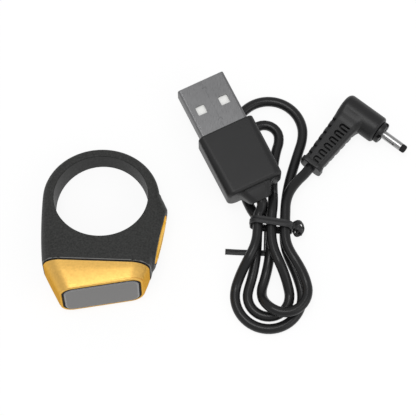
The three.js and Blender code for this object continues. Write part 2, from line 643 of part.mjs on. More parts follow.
function addMotor() {
  const can = turned([[0, MOTOR_START], [MOTOR_RADIUS - 0.2, MOTOR_START],
    [MOTOR_RADIUS, MOTOR_START + 0.2], [MOTOR_RADIUS, MOTOR_END], [0.45, MOTOR_END],
    [0.45, SHAFT_START - 0.2], [0, SHAFT_START - 0.2]]);
  piece(lane, 'motor_can', can, STEEL);
  const bootStart = MOTOR_START + 0.3;
  const bootInner = MOTOR_RADIUS + 0.04;
  const bootOuter = bootInner + MOTOR_BOOT_WALL;
  const bootEnd = MOTOR_END - 1.8;
  const boot = turned([[bootInner, bootStart], [bootOuter, bootStart], [bootOuter, bootEnd],
    [bootInner, bootEnd], [bootInner, bootStart]]);
  piece(lane, 'motor_boot', boot, RUBBER);
  const shaftEnd = WEIGHT_START + WEIGHT_LENGTH + 0.3;
  piece(lane, 'motor_shaft', rod(MOTOR_SHAFT_RADIUS, SHAFT_START, shaftEnd, 16), STEEL);
  const sector = new THREE.Shape();
  sector.absarc(0, 0, WEIGHT_RADIUS, 0, Math.PI);
  const weight = prism(sector, WEIGHT_START, WEIGHT_START + WEIGHT_LENGTH, 14)
    .add(rod(MOTOR_SHAFT_RADIUS + 0.4, WEIGHT_START, WEIGHT_START + WEIGHT_LENGTH))
    .subtract(rod(MOTOR_SHAFT_RADIUS + 0.05, WEIGHT_START - 1, WEIGHT_START + WEIGHT_LENGTH + 1, 16));
  piece(lane, 'motor_weight', weight, STEEL);
}

function addSocket() {
  const start = SOCKET_START;
  const end = start + SOCKET_LENGTH;
  const floor = end - 0.7;
  const slotHalf = 0.5;
  const housing = block([-SOCKET_HALF, SOCKET_HALF], [-SOCKET_HALF, SOCKET_HALF], [start, end])
    .subtract(rod(SOCKET_BORE_RADIUS, start - 1, floor, 24))
    .subtract(rod(PIN_RADIUS + 0.05, start, end + 1, 16))
    .subtract(block([0.9 - 2.8, -0.9], [-slotHalf, slotHalf], [start + 0.6, end + 1]));
  piece(lane, 'socket_housing', housing, RUBBER);
  piece(lane, 'socket_pin', rod(PIN_RADIUS, start + 1.2, end + 0.15, 16), GOLD);
  const springRoute = [[-1.45, start + 0.9], [-1.25, start + 2.4], [-1.45, start + 4.2], [-1.45, end + 0.1]];
  piece(lane, 'socket_spring', ribbon(springRoute, 0.14, 0.8), COPPER);
}

function addButton() {
  const trimFloor = TRIM_PROUD - TRIM_THICKNESS;
  const hole = [TRIM_HALF[0] - TRIM_BAND, TRIM_HALF[1] - TRIM_BAND];
  const trimSteps = [[0, trimFloor], [0, TRIM_PROUD - 0.2], [0.06, TRIM_PROUD - 0.06], [0.2, TRIM_PROUD]];
  const [trimX, trimY] = TRIM_HALF;
  const trimRings = trimSteps.map(([inset, z]) => ovalRing(trimX - inset, trimY - inset, z, 48));
  const holeRings = [ovalRing(...hole, trimFloor - 1, 48), ovalRing(...hole, TRIM_PROUD - 0.2, 48),
    ovalRing(hole[0] + 0.2, hole[1] + 0.2, TRIM_PROUD + 0.01, 48)];
  piece(button, 'button_trim', solid(loft(trimRings)).subtract(solid(loft(holeRings))), GOLD);
  const [capX, capY] = CAP_HALF;
  const dish = [1, 0.94, 0.8, 0.6, 0.35, 0.1].map((share) => {
    const drop = CAP_DISH * (1 - share * share);
    return ovalRing(capX * share, capY * share, -0.05 - drop, 40);
  });
  const flangeTop = -CAP_THICKNESS;
  const flange = [ovalRing(...FLANGE_HALF, FLANGE_FLOOR, 40), ovalRing(...FLANGE_HALF, flangeTop, 40)];
  const wall = ovalRing(capX, capY, flangeTop + 0.001, 40);
  const cap = solid(loft([...flange, wall, ...dish]))
    .add(rod(STEM_RADIUS, SWITCH_TOP + 0.43, FLANGE_FLOOR + 0.1));
  piece(button, 'button_cap', cap, GOLD);
  const gasket = prism(oval(FLANGE_HALF[0], FLANGE_HALF[1]), WELL_FLOOR + 0.03, WELL_FLOOR + 0.15, 20)
    .subtract(prism(roundedRectangle(2.4, 1.9, 0.3), -9, 0, 3));
  piece(button, 'button_gasket', gasket, RUBBER);
  const [switchX, switchY] = SWITCH_HALF;
  const body = block([-switchX, switchX], [-switchY, switchY], [SWITCH_BOTTOM, SWITCH_TOP])
    .subtract(rod(1.1, SWITCH_BOTTOM + 0.15, 0));
  piece(button, 'switch_body', body, CHIP);
  const domeBase = SWITCH_BOTTOM + 0.18;
  const domeProfile = [[1, 0], [0.75, 0.22], [0.4, 0.34], [0, 0.38], [0, 0.3], [0.38, 0.26], [0.68, 0.15],
    [0.85, 0], [1, 0]];
  const dome = turned(domeProfile.map(([r, z]) => [r, domeBase + z]), 20);
  piece(button, 'switch_dome', dome, STEEL);
  piece(button, 'switch_plunger', rod(PLUNGER_RADIUS, domeBase + 0.42, SWITCH_TOP + 0.37), WHITE_PLASTIC);
}

function addButtonRibbon() {
  const at = (x, z) => {
    const point = new THREE.Vector3(x, 0, z).applyMatrix4(BUTTON);
    return [point.x, point.z];
  };
  const under = SWITCH_BOTTOM - 0.15;
  const onBoard = BOARD_TOP + 0.14;
  const turn = at(-SWITCH_HALF[0] - 1.1, under);
  const edge = BOARD_HALF[0];
  const underSwitch = [at(SWITCH_HALF[0] + 0.4, under), at(-SWITCH_HALF[0] - 0.1, under)];
  const alongWall = [[RIBBON_LANE + 0.1, turn[1] + 0.3], [RIBBON_LANE, turn[1] + 2.6],
    [RIBBON_LANE, onBoard - 0.5]];
  const ontoBoard = [[edge + 0.25, onBoard - 0.12], [edge, onBoard], [edge - 0.4, onBoard]];
  const route = [...underSwitch, ...alongWall, ...ontoBoard];
  piece(head, 'button_ribbon', ribbon(route, 0.14, 2 * CHANNEL_HALF - 0.4), POLYIMIDE);
}

// Charging lead: a frame with X to the left of travel, Y up and Z along a heading
function headingFrame(at, height, heading) {
  const along = new THREE.Vector3(heading[0], heading[1], 0).normalize();
  const up = new THREE.Vector3(0, 0, 1);
  const left = new THREE.Vector3().crossVectors(up, along);
  return new THREE.Matrix4().makeBasis(left, up, along).setPosition(at[0], at[1], height);
}

function frameGroup(matrix) {
  const group = new THREE.Group();
  matrix.decompose(group.position, group.quaternion, group.scale);
  return group;
}

const PLUG = headingFrame(PLUG_REAR, PLUG_HEIGHT, PLUG_HEADING);
const lead = new THREE.Group();
const plug = frameGroup(PLUG);
lead.add(plug);

// The neck's end sinks and leans back to let the cord down
function drooped(ringOfPoints) {
  return ringOfPoints.map((point) => {
    const lean = point.y * Math.sin(NECK_TILT);
    return new THREE.Vector3(point.x, point.y * Math.cos(NECK_TILT) - NECK_DROP, point.z - lean);
  });
}

function addUsbPlug() {
  const shellStart = GRIP_LENGTH - USB_INSERT;
  const shellEnd = GRIP_LENGTH + USB_EXPOSED;
  const half = [USB_WIDTH / 2, USB_THICKNESS / 2];
  const inside = roundedRectangle(half[0] - USB_WALL, half[1] - USB_WALL, 0.25);
  let shell = prism(roundedRectangle(...half, 0.5), shellStart, shellEnd, 3)
    .subtract(prism(inside, shellStart - 1, shellEnd + 1, 3));
  for (const x of [-3, 3]) {
    const window = block([x - 1.15, x + 1.15], [-9, 9], [GRIP_LENGTH + 5.4, GRIP_LENGTH + 7.7]);
    shell = shell.subtract(window);
  }
  piece(plug, 'usb_shell', shell, STEEL);
  const innerX = half[0] - USB_WALL - FIT_CLEARANCE;
  const innerY = half[1] - USB_WALL - FIT_CLEARANCE;
  const tongue = block([-innerX, innerX], [0.1, innerY], [shellStart, shellEnd - 0.8])
    .add(block([-innerX, innerX], [-innerY, innerY], [shellStart, shellStart + 3]));
  piece(plug, 'usb_tongue', tongue, WHITE_PLASTIC);
  [-3.5, -1, 1, 3.5].forEach((x, i) => {
    const reach = i === 0 || i === 3 ? 1.2 : 2.2;
    const contact = block([x - 0.5, x + 0.5], [-0.08, 0.05], [shellStart + 3.1, shellEnd - reach]);
    piece(plug, `usb_contact_${i + 1}`, contact, GOLD);
  });
  const corner = 1.4;
  const seatShape = roundedRectangle(half[0] + 0.08, half[1] + 0.08, 0.5);
  const seat = prism(seatShape, shellStart - 0.2, GRIP_LENGTH + 1, 3);
  const grip = solid(loft([
    drooped(rectangleRing(2.5, 2, 1.6, -NECK_LENGTH, 4)),
    drooped(rectangleRing(2.8, 2.15, 1.6, -NECK_LENGTH + 0.3, 4)),
    rectangleRing(4, 2.6, 1.6, -0.1, 4),
    rectangleRing(GRIP_HALF[0] - 0.5, GRIP_HALF[1] - 0.45, corner, 0, 4),
    rectangleRing(GRIP_HALF[0], GRIP_HALF[1], corner, 0.6, 4),
    rectangleRing(GRIP_HALF[0], GRIP_HALF[1], corner, GRIP_LENGTH - 0.5, 4),
    rectangleRing(GRIP_HALF[0] - 0.3, GRIP_HALF[1] - 0.3, corner, GRIP_LENGTH, 4),
  ])).subtract(seat);
  piece(plug, 'usb_grip', grip, CORD_SKIN);
}

// Right-angle plug: its frame's Z runs towards the tip, X to the left of travel
const ELBOW = headingFrame(ELBOW_MEETING, ELBOW_RADIUS, ELBOW_HEADING);
const elbow = frameGroup(ELBOW);
lead.add(elbow);

function addBarrelPlug() {
  const rear = -RELIEF_OFFSET;
  const front = rear + ELBOW_LENGTH;
  const barrelEnd = front + COLLAR_LENGTH + BARREL_LENGTH;
  const cylinder = turned([[0, rear], [ELBOW_RADIUS - 1.1, rear], [ELBOW_RADIUS - 0.35, rear + 0.3],
    [ELBOW_RADIUS, rear + 1.1], [ELBOW_RADIUS, front - 0.7], [ELBOW_RADIUS - 0.35, front - 0.15],
    [ELBOW_RADIUS - 0.7, front], [0, front]], 28);
  const width = 3.2;
  const thin = 2.45;
  let relief = solid(loft([
    rectangleRing(thin, width, 1.3, 0, 4),
    rectangleRing(thin, width, 1.3, ELBOW_RADIUS + 0.4, 4),
    rectangleRing(thin - 0.35, width - 0.7, 1.2, RELIEF_LENGTH - 1.3, 4),
    rectangleRing(thin - 0.05, width - 0.35, 1.2, RELIEF_LENGTH - 1.2, 4),
    rectangleRing(thin - 0.05, width - 0.35, 1.2, RELIEF_LENGTH, 4),
  ]));
  const pitch = (RELIEF_LENGTH - ELBOW_RADIUS - RELIEF_ENDS) / RELIEF_SLOTS;
  const slotLength = pitch * 0.62;
  const between = (side, from, to) => [side * from, side * to].sort((a, b) => a - b);
  for (let i = 0; i < RELIEF_SLOTS; i++) {
    const z = ELBOW_RADIUS + RELIEF_ENDS * 0.65 + i * pitch;
    const halfWidth = width - 0.7 * i / (RELIEF_SLOTS - 1);
    for (const side of [-1, 1]) {
      const across = between(-side, -0.6, halfWidth - 1.5);
      const pocket = block(between(side, 1.45, 9), across, [z, z + slotLength]);
      const atEdge = between(side, halfWidth - 0.7, 9);
      const notch = block(between(side, 0.5, 9), atEdge, [z, z + slotLength * 0.7]);
      relief = relief.subtract(pocket).subtract(notch);
    }
  }
  const alongX = new THREE.Vector3(1, 0, 0);
  const alongY = new THREE.Vector3(0, 1, 0);
  const alongZ = new THREE.Vector3(0, 0, 1);
  const sideways = new THREE.Matrix4().makeBasis(alongY, alongZ, alongX);
  sideways.premultiply(new THREE.Matrix4().makeRotationZ(Math.PI));
  piece(elbow, 'plug_grip', cylinder.add(moved(relief, sideways)), CORD_SKIN);
  const collarStart = front + 0.1;
  const collarEnd = collarStart + COLLAR_LENGTH;
  let collar = turned([[0, collarStart], [COLLAR_RADIUS, collarStart], [COLLAR_RADIUS, collarEnd - 0.3],
    [COLLAR_RADIUS - 0.35, collarEnd], [0, collarEnd]], 24);
  collar = collar.subtract(rod(BARREL_RADIUS + 0.08, collarStart + 0.3, barrelEnd));
  for (let i = 0; i < 2; i++) {
    const notch = block([-9, 9], [-0.45, 0.45], [collarStart + 0.55, barrelEnd]);
    collar = collar.subtract(moved(notch, new THREE.Matrix4().makeRotationZ(i * Math.PI / 2 + Math.PI / 4)));
  }
  piece(elbow, 'plug_collar', collar, CORD_SKIN);
  const barrelStart = collarStart + 0.4;
  const barrelInner = BARREL_RADIUS - 0.22;
  const barrel = turned([[barrelInner, barrelStart], [BARREL_RADIUS, barrelStart],
    [BARREL_RADIUS, barrelEnd], [barrelInner, barrelEnd], [barrelInner, barrelStart]], 24);
  piece(elbow, 'plug_barrel', barrel, STEEL);
  const tipInner = 0.35;
  const tipOuter = barrelInner - 0.05;
  const tipProfile = [[tipInner, -1.5], [tipOuter, -1.5], [tipOuter, 0.05], [BARREL_RADIUS - 0.02, 0.05],
    [BARREL_RADIUS - 0.05, TIP_LENGTH - 0.25], [BARREL_RADIUS - 0.3, TIP_LENGTH], [tipInner, TIP_LENGTH],
    [tipInner, -1.5]];
  const tip = turned(tipProfile.map(([r, z]) => [r, barrelEnd + z]), 24);
  piece(elbow, 'plug_tip', tip, RUBBER);
  piece(elbow, 'plug_core', rod(0.5, barrelStart + 0.2, barrelEnd - 2, 16), COPPER);
}

// The tied hank. Slots at the waist hold six strands, three across and two high.
const CORD_RADIUS = CORD_DIAMETER / 2;
const LOW = CORD_RADIUS;
const WAIST_LOW = CORD_RADIUS + WAIST_LIFT;
const WAIST_HIGH = WAIST_LOW + LAYER_PITCH;
const slotAt = (column, high) => ({ x: WAIST[0] + column * COLUMN_PITCH, z: high ? WAIST_HIGH : WAIST_LOW });
const SLOT_TAIL = slotAt(-1, true);
const SLOT_OUTER_RIGHT = slotAt(1, false);
const SLOT_OUTER_LEFT = slotAt(-1, false);
const SLOT_INNER_RIGHT = slotAt(0, true);
const SLOT_INNER_LEFT = slotAt(0, false);
const SLOT_RUN = slotAt(1, true);
const OVER = LOW + LAYER_PITCH;

// Heights along a loop are pairs of a share of its length and a height, joined smoothly
const HANK_LOOPS = [
  { from: SLOT_TAIL, to: SLOT_OUTER_RIGHT, side: -1, centre: [38.95, -14.25], radius: 7.85, leans: [0, 0],
    heights: [[0, WAIST_HIGH], [0.09, WAIST_HIGH], [0.27, LOW], [0.74, LOW],
      [0.88, WAIST_LOW], [1, WAIST_LOW]] },
  { from: SLOT_OUTER_RIGHT, to: SLOT_OUTER_LEFT, side: 1, centre: [38, 26.3], radius: 8.2, leans: [0, -0.62],
    heights: [[0, WAIST_LOW], [0.1, LOW], [0.91, LOW], [1, WAIST_LOW]] },
  { from: SLOT_OUTER_LEFT, to: SLOT_INNER_RIGHT, side: -1, centre: [38.95, -14.25], radius: 4.9,
    leans: [0, 0],
    heights: [[0, WAIST_LOW], [0.12, WAIST_LOW], [0.26, LOW], [0.64, LOW],
      [0.85, WAIST_HIGH], [1, WAIST_HIGH]] },
  { from: SLOT_INNER_RIGHT, to: SLOT_INNER_LEFT, side: 1, centre: [37, 24.8], radius: 3.55,
    leans: [0.1, -0.5],
    heights: [[0, WAIST_HIGH], [0.05, WAIST_HIGH], [0.17, LOW], [0.88, LOW], [1, WAIST_LOW]] },
  { from: SLOT_INNER_LEFT, to: SLOT_RUN, side: -1, centre: [42.6, -13.4], radius: 5.3, leans: [0, 0],
    heights: [[0, WAIST_LOW], [0.12, WAIST_LOW], [0.24, LOW], [0.29, LOW], [0.43, OVER], [0.7, OVER],
      [0.85, WAIST_HIGH], [1, WAIST_HIGH]] },
];

const smooth = (t) => t * t * (3 - 2 * t);

function heightAt(heights, share) {
  const next = Math.max(1, heights.findIndex(([at]) => at >= share));
  const [[fromAt, from], [toAt, to]] = [heights[next - 1], heights[next]];
  return from + (to - from) * smooth((share - fromAt) / (toAt - fromAt));
}

// One loop: a neck out of the waist, a round end and a neck back, in LOOP_STEPS equal steps
function loopRoute({ from, to, side, centre, radius, leans, heights }) {
  const opening = 15 * DEGREE;
  const firstAngle = (side > 0 ? 0 : Math.PI) - opening;
  const lastAngle = firstAngle + Math.PI + 2 * opening;
  const [cx, cy] = centre;
  const onEnd = (angle) => new THREE.Vector2(cx + radius * Math.cos(angle), cy + radius * Math.sin(angle));
  const start = new THREE.Vector2(from.x, WAIST[1] + side * WAIST_HALF_LENGTH);
  const finish = new THREE.Vector2(to.x, WAIST[1] + side * WAIST_HALF_LENGTH);
  const neck = (waistPoint, lean, angle, turn) => {
    const endPoint = onEnd(angle);
    const pull = waistPoint.distanceTo(endPoint) * 0.42;
    const nearWaist = waistPoint.clone().add(new THREE.Vector2(lean * pull, side * pull));
    const aroundEnd = new THREE.Vector2(Math.sin(angle), -Math.cos(angle)).multiplyScalar(pull * turn);
    return [waistPoint, nearWaist, endPoint.clone().add(aroundEnd), endPoint];
  };
  const path = new THREE.CurvePath();
  path.add(new THREE.CubicBezierCurve(...neck(start, leans[0], firstAngle, 1)));
  path.add(new THREE.EllipseCurve(cx, cy, radius, radius, firstAngle, lastAngle));
  path.add(new THREE.CubicBezierCurve(...neck(finish, leans[1], lastAngle, -1).reverse()));
  return Array.from({ length: LOOP_STEPS + 1 }, (_, i) => {
    const share = i / LOOP_STEPS;
    const point = path.getPointAt(share);
    return new THREE.Vector3(point.x, point.y, heightAt(heights, share));
  });
}

const HANK_START = new THREE.Vector3(SLOT_TAIL.x, WAIST[1] + 0.8, WAIST_HIGH);
const HANK_END = new THREE.Vector3(SLOT_RUN.x, WAIST[1] + CORD_DIAMETER, WAIST_HIGH);
const HANK_ROUTE = [
  HANK_START,
  new THREE.Vector3(SLOT_TAIL.x, WAIST[1], WAIST_HIGH),
  ...HANK_LOOPS.flatMap(loopRoute),
  new THREE.Vector3(SLOT_RUN.x, WAIST[1], WAIST_HIGH),
  HANK_END,
];

// A closed tube of flat sides along points, its sections carried round without twist
function strand(points, radius, sides) {
  const rings = [];
  let normal = new THREE.Vector3(0, 0, 1);
  points.forEach((point, i) => {
    const before = points[Math.max(i - 1, 0)];
    const after = points[Math.min(i + 1, points.length - 1)];
    const along = after.clone().sub(before).normalize();
    normal = normal.clone().addScaledVector(along, -normal.dot(along)).normalize();
    const across = new THREE.Vector3().crossVectors(along, normal);
    rings.push(Array.from({ length: sides }, (_, k) => {
      const angle = ((k + 0.5) / sides) * Math.PI * 2;
      return point.clone().addScaledVector(normal, radius * Math.cos(angle))
        .addScaledVector(across, -radius * Math.sin(angle));
    }));
  });
  return loft(rings.map((ringOfPoints) => ringOfPoints.reverse()));
}

function leastGap(route, diameter) {
  const points = new THREE.CatmullRomCurve3(route, false, 'centripetal').getSpacedPoints(1500);
  const step = points[0].distanceTo(points[1]);
  const apart = Math.ceil((diameter * 3) / step);
  let least = Infinity;
  let nearest = [];
  for (let i = 0; i < points.length; i++) {
    for (let j = i + apart; j < points.length; j++) {
      const distance = points[i].distanceTo(points[j]);
      if (distance < least) {
        least = distance;
        nearest = [points[i], points[j]];
      }
    }
  }
  const place = nearest.map((point) => point.toArray().map((v) => v.toFixed(1)).join(' ')).join(' and ');
  return { gap: least - diameter, place };
}

function routeLength(points) {
  return points.slice(1).reduce((sum, point, i) => sum + point.distanceTo(points[i]), 0);
}

function freeTube(points) {
  const section = new THREE.Shape();
  for (let i = 0; i < 8; i++) {
    const angle = ((i + 0.5) / 8) * Math.PI * 2;
    const corner = [CORD_RADIUS * Math.cos(angle), CORD_RADIUS * Math.sin(angle)];
    if (i === 0) section.moveTo(...corner);
    else section.lineTo(...corner);
  }
  const route = points.map((point) => new THREE.Vector3(...point));
  const extrudePath = new THREE.CatmullRomCurve3(route, false, 'centripetal');
  const steps = Math.max(4, Math.round(extrudePath.getLength() / (CORD_DIAMETER * 0.8)));
  return solid(new THREE.ExtrudeGeometry(section, { steps, extrudePath }));
}

// Free stretches: chosen points between the plugs and the hank
const NECK_END = new THREE.Vector3(0, -NECK_DROP, -NECK_LENGTH - CORD_END_GAP).applyMatrix4(PLUG);
const RELIEF_END = new THREE.Vector3(-RELIEF_LENGTH - CORD_END_GAP, 0, 0).applyMatrix4(ELBOW);
const TAIL_ROUTE = [
  NECK_END.toArray(),
  [36.76, 6.7, 6.25],
  [36.5, 5.5, 5.6],
  [36.02, 4.4, 5.17],
  [HANK_START.x, HANK_START.y + CORD_END_GAP, HANK_START.z],
];
const RUN_ROUTE = [
  [HANK_END.x, HANK_END.y + CORD_END_GAP, HANK_END.z],
  [42.4, 7.6, 5.1],
  [43.2, 10.4, 4.8],
  [44.8, 13.1, 4.1],
  [46.7, 15.4, 3.5],
  RELIEF_END.toArray(),
];

function addCord() {
  const { gap, place } = leastGap(HANK_ROUTE, CORD_DIAMETER);
  const length = routeLength(HANK_ROUTE);
  console.log(`hank: least gap to itself ${gap.toFixed(2)} mm at ${place}, length ${length.toFixed(0)} mm`);
  piece(lead, 'cord_hank', solid(strand(HANK_ROUTE, CORD_RADIUS, 6)), CORD_SKIN);
  piece(lead, 'cord_tail', freeTube(TAIL_ROUTE), CORD_SKIN);
  piece(lead, 'cord_run', freeTube(RUN_ROUTE), CORD_SKIN);
}

function addTie() {
  const clearance = 0.3;
  const thickness = 0.5;
  const halfX = COLUMN_PITCH + CORD_RADIUS + clearance;
  const halfZ = LAYER_PITCH / 2 + CORD_RADIUS + clearance;
  const middle = (WAIST_LOW + WAIST_HIGH) / 2;
  const bottom = middle - halfZ - thickness;
  const outside = roundedRectangle(halfX + thickness, halfZ + thickness, 2);
  const band = prism(outside, -TIE_HALF_WIDTH, TIE_HALF_WIDTH, 5)
    .subtract(prism(roundedRectangle(halfX, halfZ, 1.5), -2, 2, 5));
  const upright = moved(band, turnedAboutX(Math.PI / 2)).rotate([0, 0, -7])
    .translate([WAIST[0], WAIST[1], middle]);
  const knot = solid(new THREE.TorusGeometry(1.35, 0.65, 8, 20)).rotate([70, 25, 0])
    .translate([WAIST[0] + halfX + thickness + 1.1, WAIST[1] - 0.9, middle - 0.3]);
  const link = block([WAIST[0] - 1.6, WAIST[0] - 0.2], [-3.6, WAIST[1]], [bottom, bottom + thickness]);
  const tail = block([28.4, WAIST[0] + 1.6], [-4.3, -2.9], [bottom, bottom + thickness]);
  piece(lead, 'twist_tie', upright.add(knot).add(link).add(tail), CORD_SKIN);
}

addHousing();
addDisplay();
addBoard();
addTrayAndBattery();
addMotor();
addSocket();
addButton();
addButtonRibbon();
addUsbPlug();
addBarrelPlug();
addCord();
addTie();

// The ring stands on its tapered side, with the origin under the middle of its box
ring.updateMatrixWorld(true);
const ringBox = new THREE.Box3().setFromObject(ring, true);
const ringMiddle = ringBox.getCenter(new THREE.Vector3());
ring.position.set(-ringMiddle.x, -ringMiddle.y, -ringBox.min.z);

const model = new THREE.Group();
model.add(ring, lead);

export default model;
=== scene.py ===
"""Counting ring with a slanted display, beside its tied charging lead."""

import math

import bmesh
import bpy
from bpy.props import FloatProperty, FloatVectorProperty, IntProperty, PointerProperty
from mathutils import Matrix, Vector


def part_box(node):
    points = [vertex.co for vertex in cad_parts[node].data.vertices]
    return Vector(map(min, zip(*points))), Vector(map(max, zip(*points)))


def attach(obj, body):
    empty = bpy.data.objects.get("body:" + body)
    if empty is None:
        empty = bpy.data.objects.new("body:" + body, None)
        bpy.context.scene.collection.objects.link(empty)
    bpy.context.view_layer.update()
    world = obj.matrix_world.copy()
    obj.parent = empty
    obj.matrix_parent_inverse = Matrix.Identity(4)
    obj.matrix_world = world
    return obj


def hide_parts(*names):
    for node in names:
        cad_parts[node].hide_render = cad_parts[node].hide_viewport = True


bl_info = {
    "name": "Counting Ring",
    "version": (1, 0, 0),
    "blender": (4, 5, 0),
    "location": "View3D > Sidebar > Counting Ring",
    "description": "Builds a counting ring and its charging lead on the packed model",
    "category": "Object",
}

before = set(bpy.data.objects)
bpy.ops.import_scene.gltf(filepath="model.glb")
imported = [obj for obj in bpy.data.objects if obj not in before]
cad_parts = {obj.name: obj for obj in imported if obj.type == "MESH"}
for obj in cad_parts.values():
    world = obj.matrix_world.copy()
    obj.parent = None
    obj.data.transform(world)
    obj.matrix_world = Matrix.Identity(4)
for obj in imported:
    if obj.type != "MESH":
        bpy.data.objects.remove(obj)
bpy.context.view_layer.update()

MM = 0.001
RING_BODY = "ring"
BUTTON_BODY = "button"
LEAD_BODY = "charging_lead"

# Sizes in millimetres, as the solids have them
BORE = 11.0
SIDE_WALL = 2.7
BACK_WALL = 2.2
TAPER = math.radians(7.8)
HALF_DEPTH_AT_BORE = 4.5
BACK_ROUNDING = 0.9
BORE_ROUNDING = 0.45
SEAM_REACH = 17.4
SEAM_HALF = (12.5, 6.883)
SEAM_CORNER = 4.2
CAVITY_HALF = (10.7, 5.2)
FLOOR_REACH = 12.7
BEZEL_REACH = 17.7
SCREW_PLACES = ((-9.2, 3.4), (9.2, -3.4), (9.2, 3.4))
WINDOW_HALF = (8.65, 5.35)
WINDOW_CORNER = 2.2
WINDOW_PROUD = 0.25
WINDOW_THICKNESS = 1.0
RECESS_HALF = (9.15, 5.85)
RECESS_CORNER = 2.65
RECESS_DEPTH = 0.85
CROWN_HALF = (9.75, 6.45)
TRIM_HALF = (6.2, 3.6)
TRIM_HOLE = (5.35, 2.75)
TRIM_DEPTH = 1.2
BUTTON_RECESS_DEPTH = 1.3
CAP_HALF = (5.23, 2.63)
FLANGE_HALF = (5.65, 3.05)
CORD_DIAMETER = 2.4
GRIP_HALF = (7.1, 3.8)
GRIP_LENGTH = 16.2
USB_HALF = (6.0, 2.25)
USB_WALL = 0.35
USB_START = 13.2
USB_END = 29.5
ELBOW_RADIUS = 3.4
RELIEF_LENGTH = 17.6
RELIEF_SLOTS = 6
RELIEF_ENDS = 2.0
COLLAR_RADIUS = 2.7
COLLAR_END = 8.6
BARREL_END = 13.9

# Sizes in millimetres of the visible model's own edges, rims and dish, most of them unlike the solids'
WINDOW_ROUNDING = 0.55
WINDOW_ROUNDING_DEPTH = 0.3
BEZEL_BOW = 0.2
BEZEL_STEP = 0.3
BEZEL_CHAMFER = 0.17
SEAM_EDGE_ROUNDING = 0.2
TRIM_ROUNDING = 0.42
TRIM_PROUD = 0.12
CAP_TOP = -0.05
CAP_ROUNDING = 0.15
CAP_DISH = 0.75
GRIP_REAR_ROUNDING = 0.9
GRIP_FRONT_ROUNDING = 0.45
ELBOW_REAR_ROUNDING = 1.3
ELBOW_FRONT_ROUNDING = 0.7

# The camera: its angle in degrees, what it looks at and from how far in millimetres, and its lens
CAMERA_AZIMUTH = 2
CAMERA_ELEVATION = 72
CAMERA_TARGET = (24.06, 7.3, 0)
CAMERA_DISTANCE = 400
FOCAL_PIXELS = 1680
PICTURE_PIXELS = 416
SENSOR_WIDTH = 36

# The stage: name, place in metres, size in metres and power in watts of each lamp
LAMPS = (("key", (-0.06, 0.0, 0.9), 0.36, 2.45), ("fill", (0.6, -0.3, 0.5), 0.5, 1.0))
LAMP_TARGET = (0.02, 0.0, 0.0)
FLOOR_HALF = 3000
FLOOR_GREY = 0.88
FLOOR_GLOW = 1.03
FLOOR_GLOW_SHARE = 0.86
STUDIO_STRENGTH = 0.62


def turn(axis, angle):
    return Matrix.Rotation(angle, 4, axis)


def move(x, y, z):
    return Matrix.Translation((x, y, z))


def middle_of(node):
    low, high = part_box(node)
    return (Vector(low) + Vector(high)) / (2 * MM)


def heading_frame(place, height, heading):
    along = Vector((heading[0], heading[1], 0)).normalized()
    up = Vector((0, 0, 1))
    left = up.cross(along)
    basis = Matrix((left, up, along)).transposed().to_4x4()
    return move(place[0], place[1], height) @ basis


# Frames: the ring lies on its tapered side. The head, display, button and charging socket's lane hang on it
SHAFT_IN_RING = Vector((3.5, -14.5, -3.35))
RING = turn("X", -TAPER)
RING = Matrix.Translation(middle_of("motor_shaft") - RING @ SHAFT_IN_RING) @ RING
HEAD = RING @ turn("X", math.pi / 2)
DISPLAY = HEAD @ move(1.5, 0, 23.35) @ turn("Y", math.radians(11.4))
BUTTON = HEAD @ move(14.35, 0, 8.9) @ turn("Y", math.pi / 2 - math.radians(9.4))
LANE = HEAD @ move(0, -3.35, 14.5) @ turn("Y", math.pi / 2)
PLUG = heading_frame((35.1, 10.1), 6.75, (-0.4716, 0.8818))
ELBOW = heading_frame((58.43, 31.34), ELBOW_RADIUS, (0.806, -0.592))


# Meshes
def add_mesh(name, points, faces, place=Matrix()):
    mesh = bpy.data.meshes.new(name)
    mesh.from_pydata([(place @ Vector(point)) * MM for point in points], [], faces)
    mesh.update()
    piece = bpy.data.objects.new(name, mesh)
    bpy.context.scene.collection.objects.link(piece)
    return piece


def face_outwards(piece):
    shape = bmesh.new()
    shape.from_mesh(piece.data)
    bmesh.ops.remove_doubles(shape, verts=shape.verts, dist=1e-7)
    bmesh.ops.recalc_face_normals(shape, faces=shape.faces)
    shape.to_mesh(piece.data)
    shape.free()
    return piece


def loft(name, rings, place=Matrix(), closed=False):
    count = len(rings[0])
    points = [point for ring in rings for point in ring]
    faces = []
    last = len(rings) if closed else len(rings) - 1
    for r in range(last):
        low = r * count
        high = (r + 1) % len(rings) * count
        for i in range(count):
            j = (i + 1) % count
            faces.append((low + i, low + j, high + j, high + i))
    if not closed:
        faces.append(tuple(reversed(range(count))))
        faces.append(tuple(range(len(points) - count, len(points))))
    return face_outwards(add_mesh(name, points, faces, place))


def lathe(name, profile, place=Matrix(), count=64):
    closed = profile[0][0] > 1e-6
    rings = []
    for radius, height in profile:
        radius = max(radius, 1e-4)
        rings.append(oval_ring(radius, radius, height, count))
    return loft(name, rings, place, closed)


def oval_ring(half_x, half_y, height, count=96):
    ring = []
    for i in range(count):
        angle = 2 * math.pi * i / count
        ring.append(Vector((half_x * math.cos(angle), half_y * math.sin(angle), height)))
    return ring


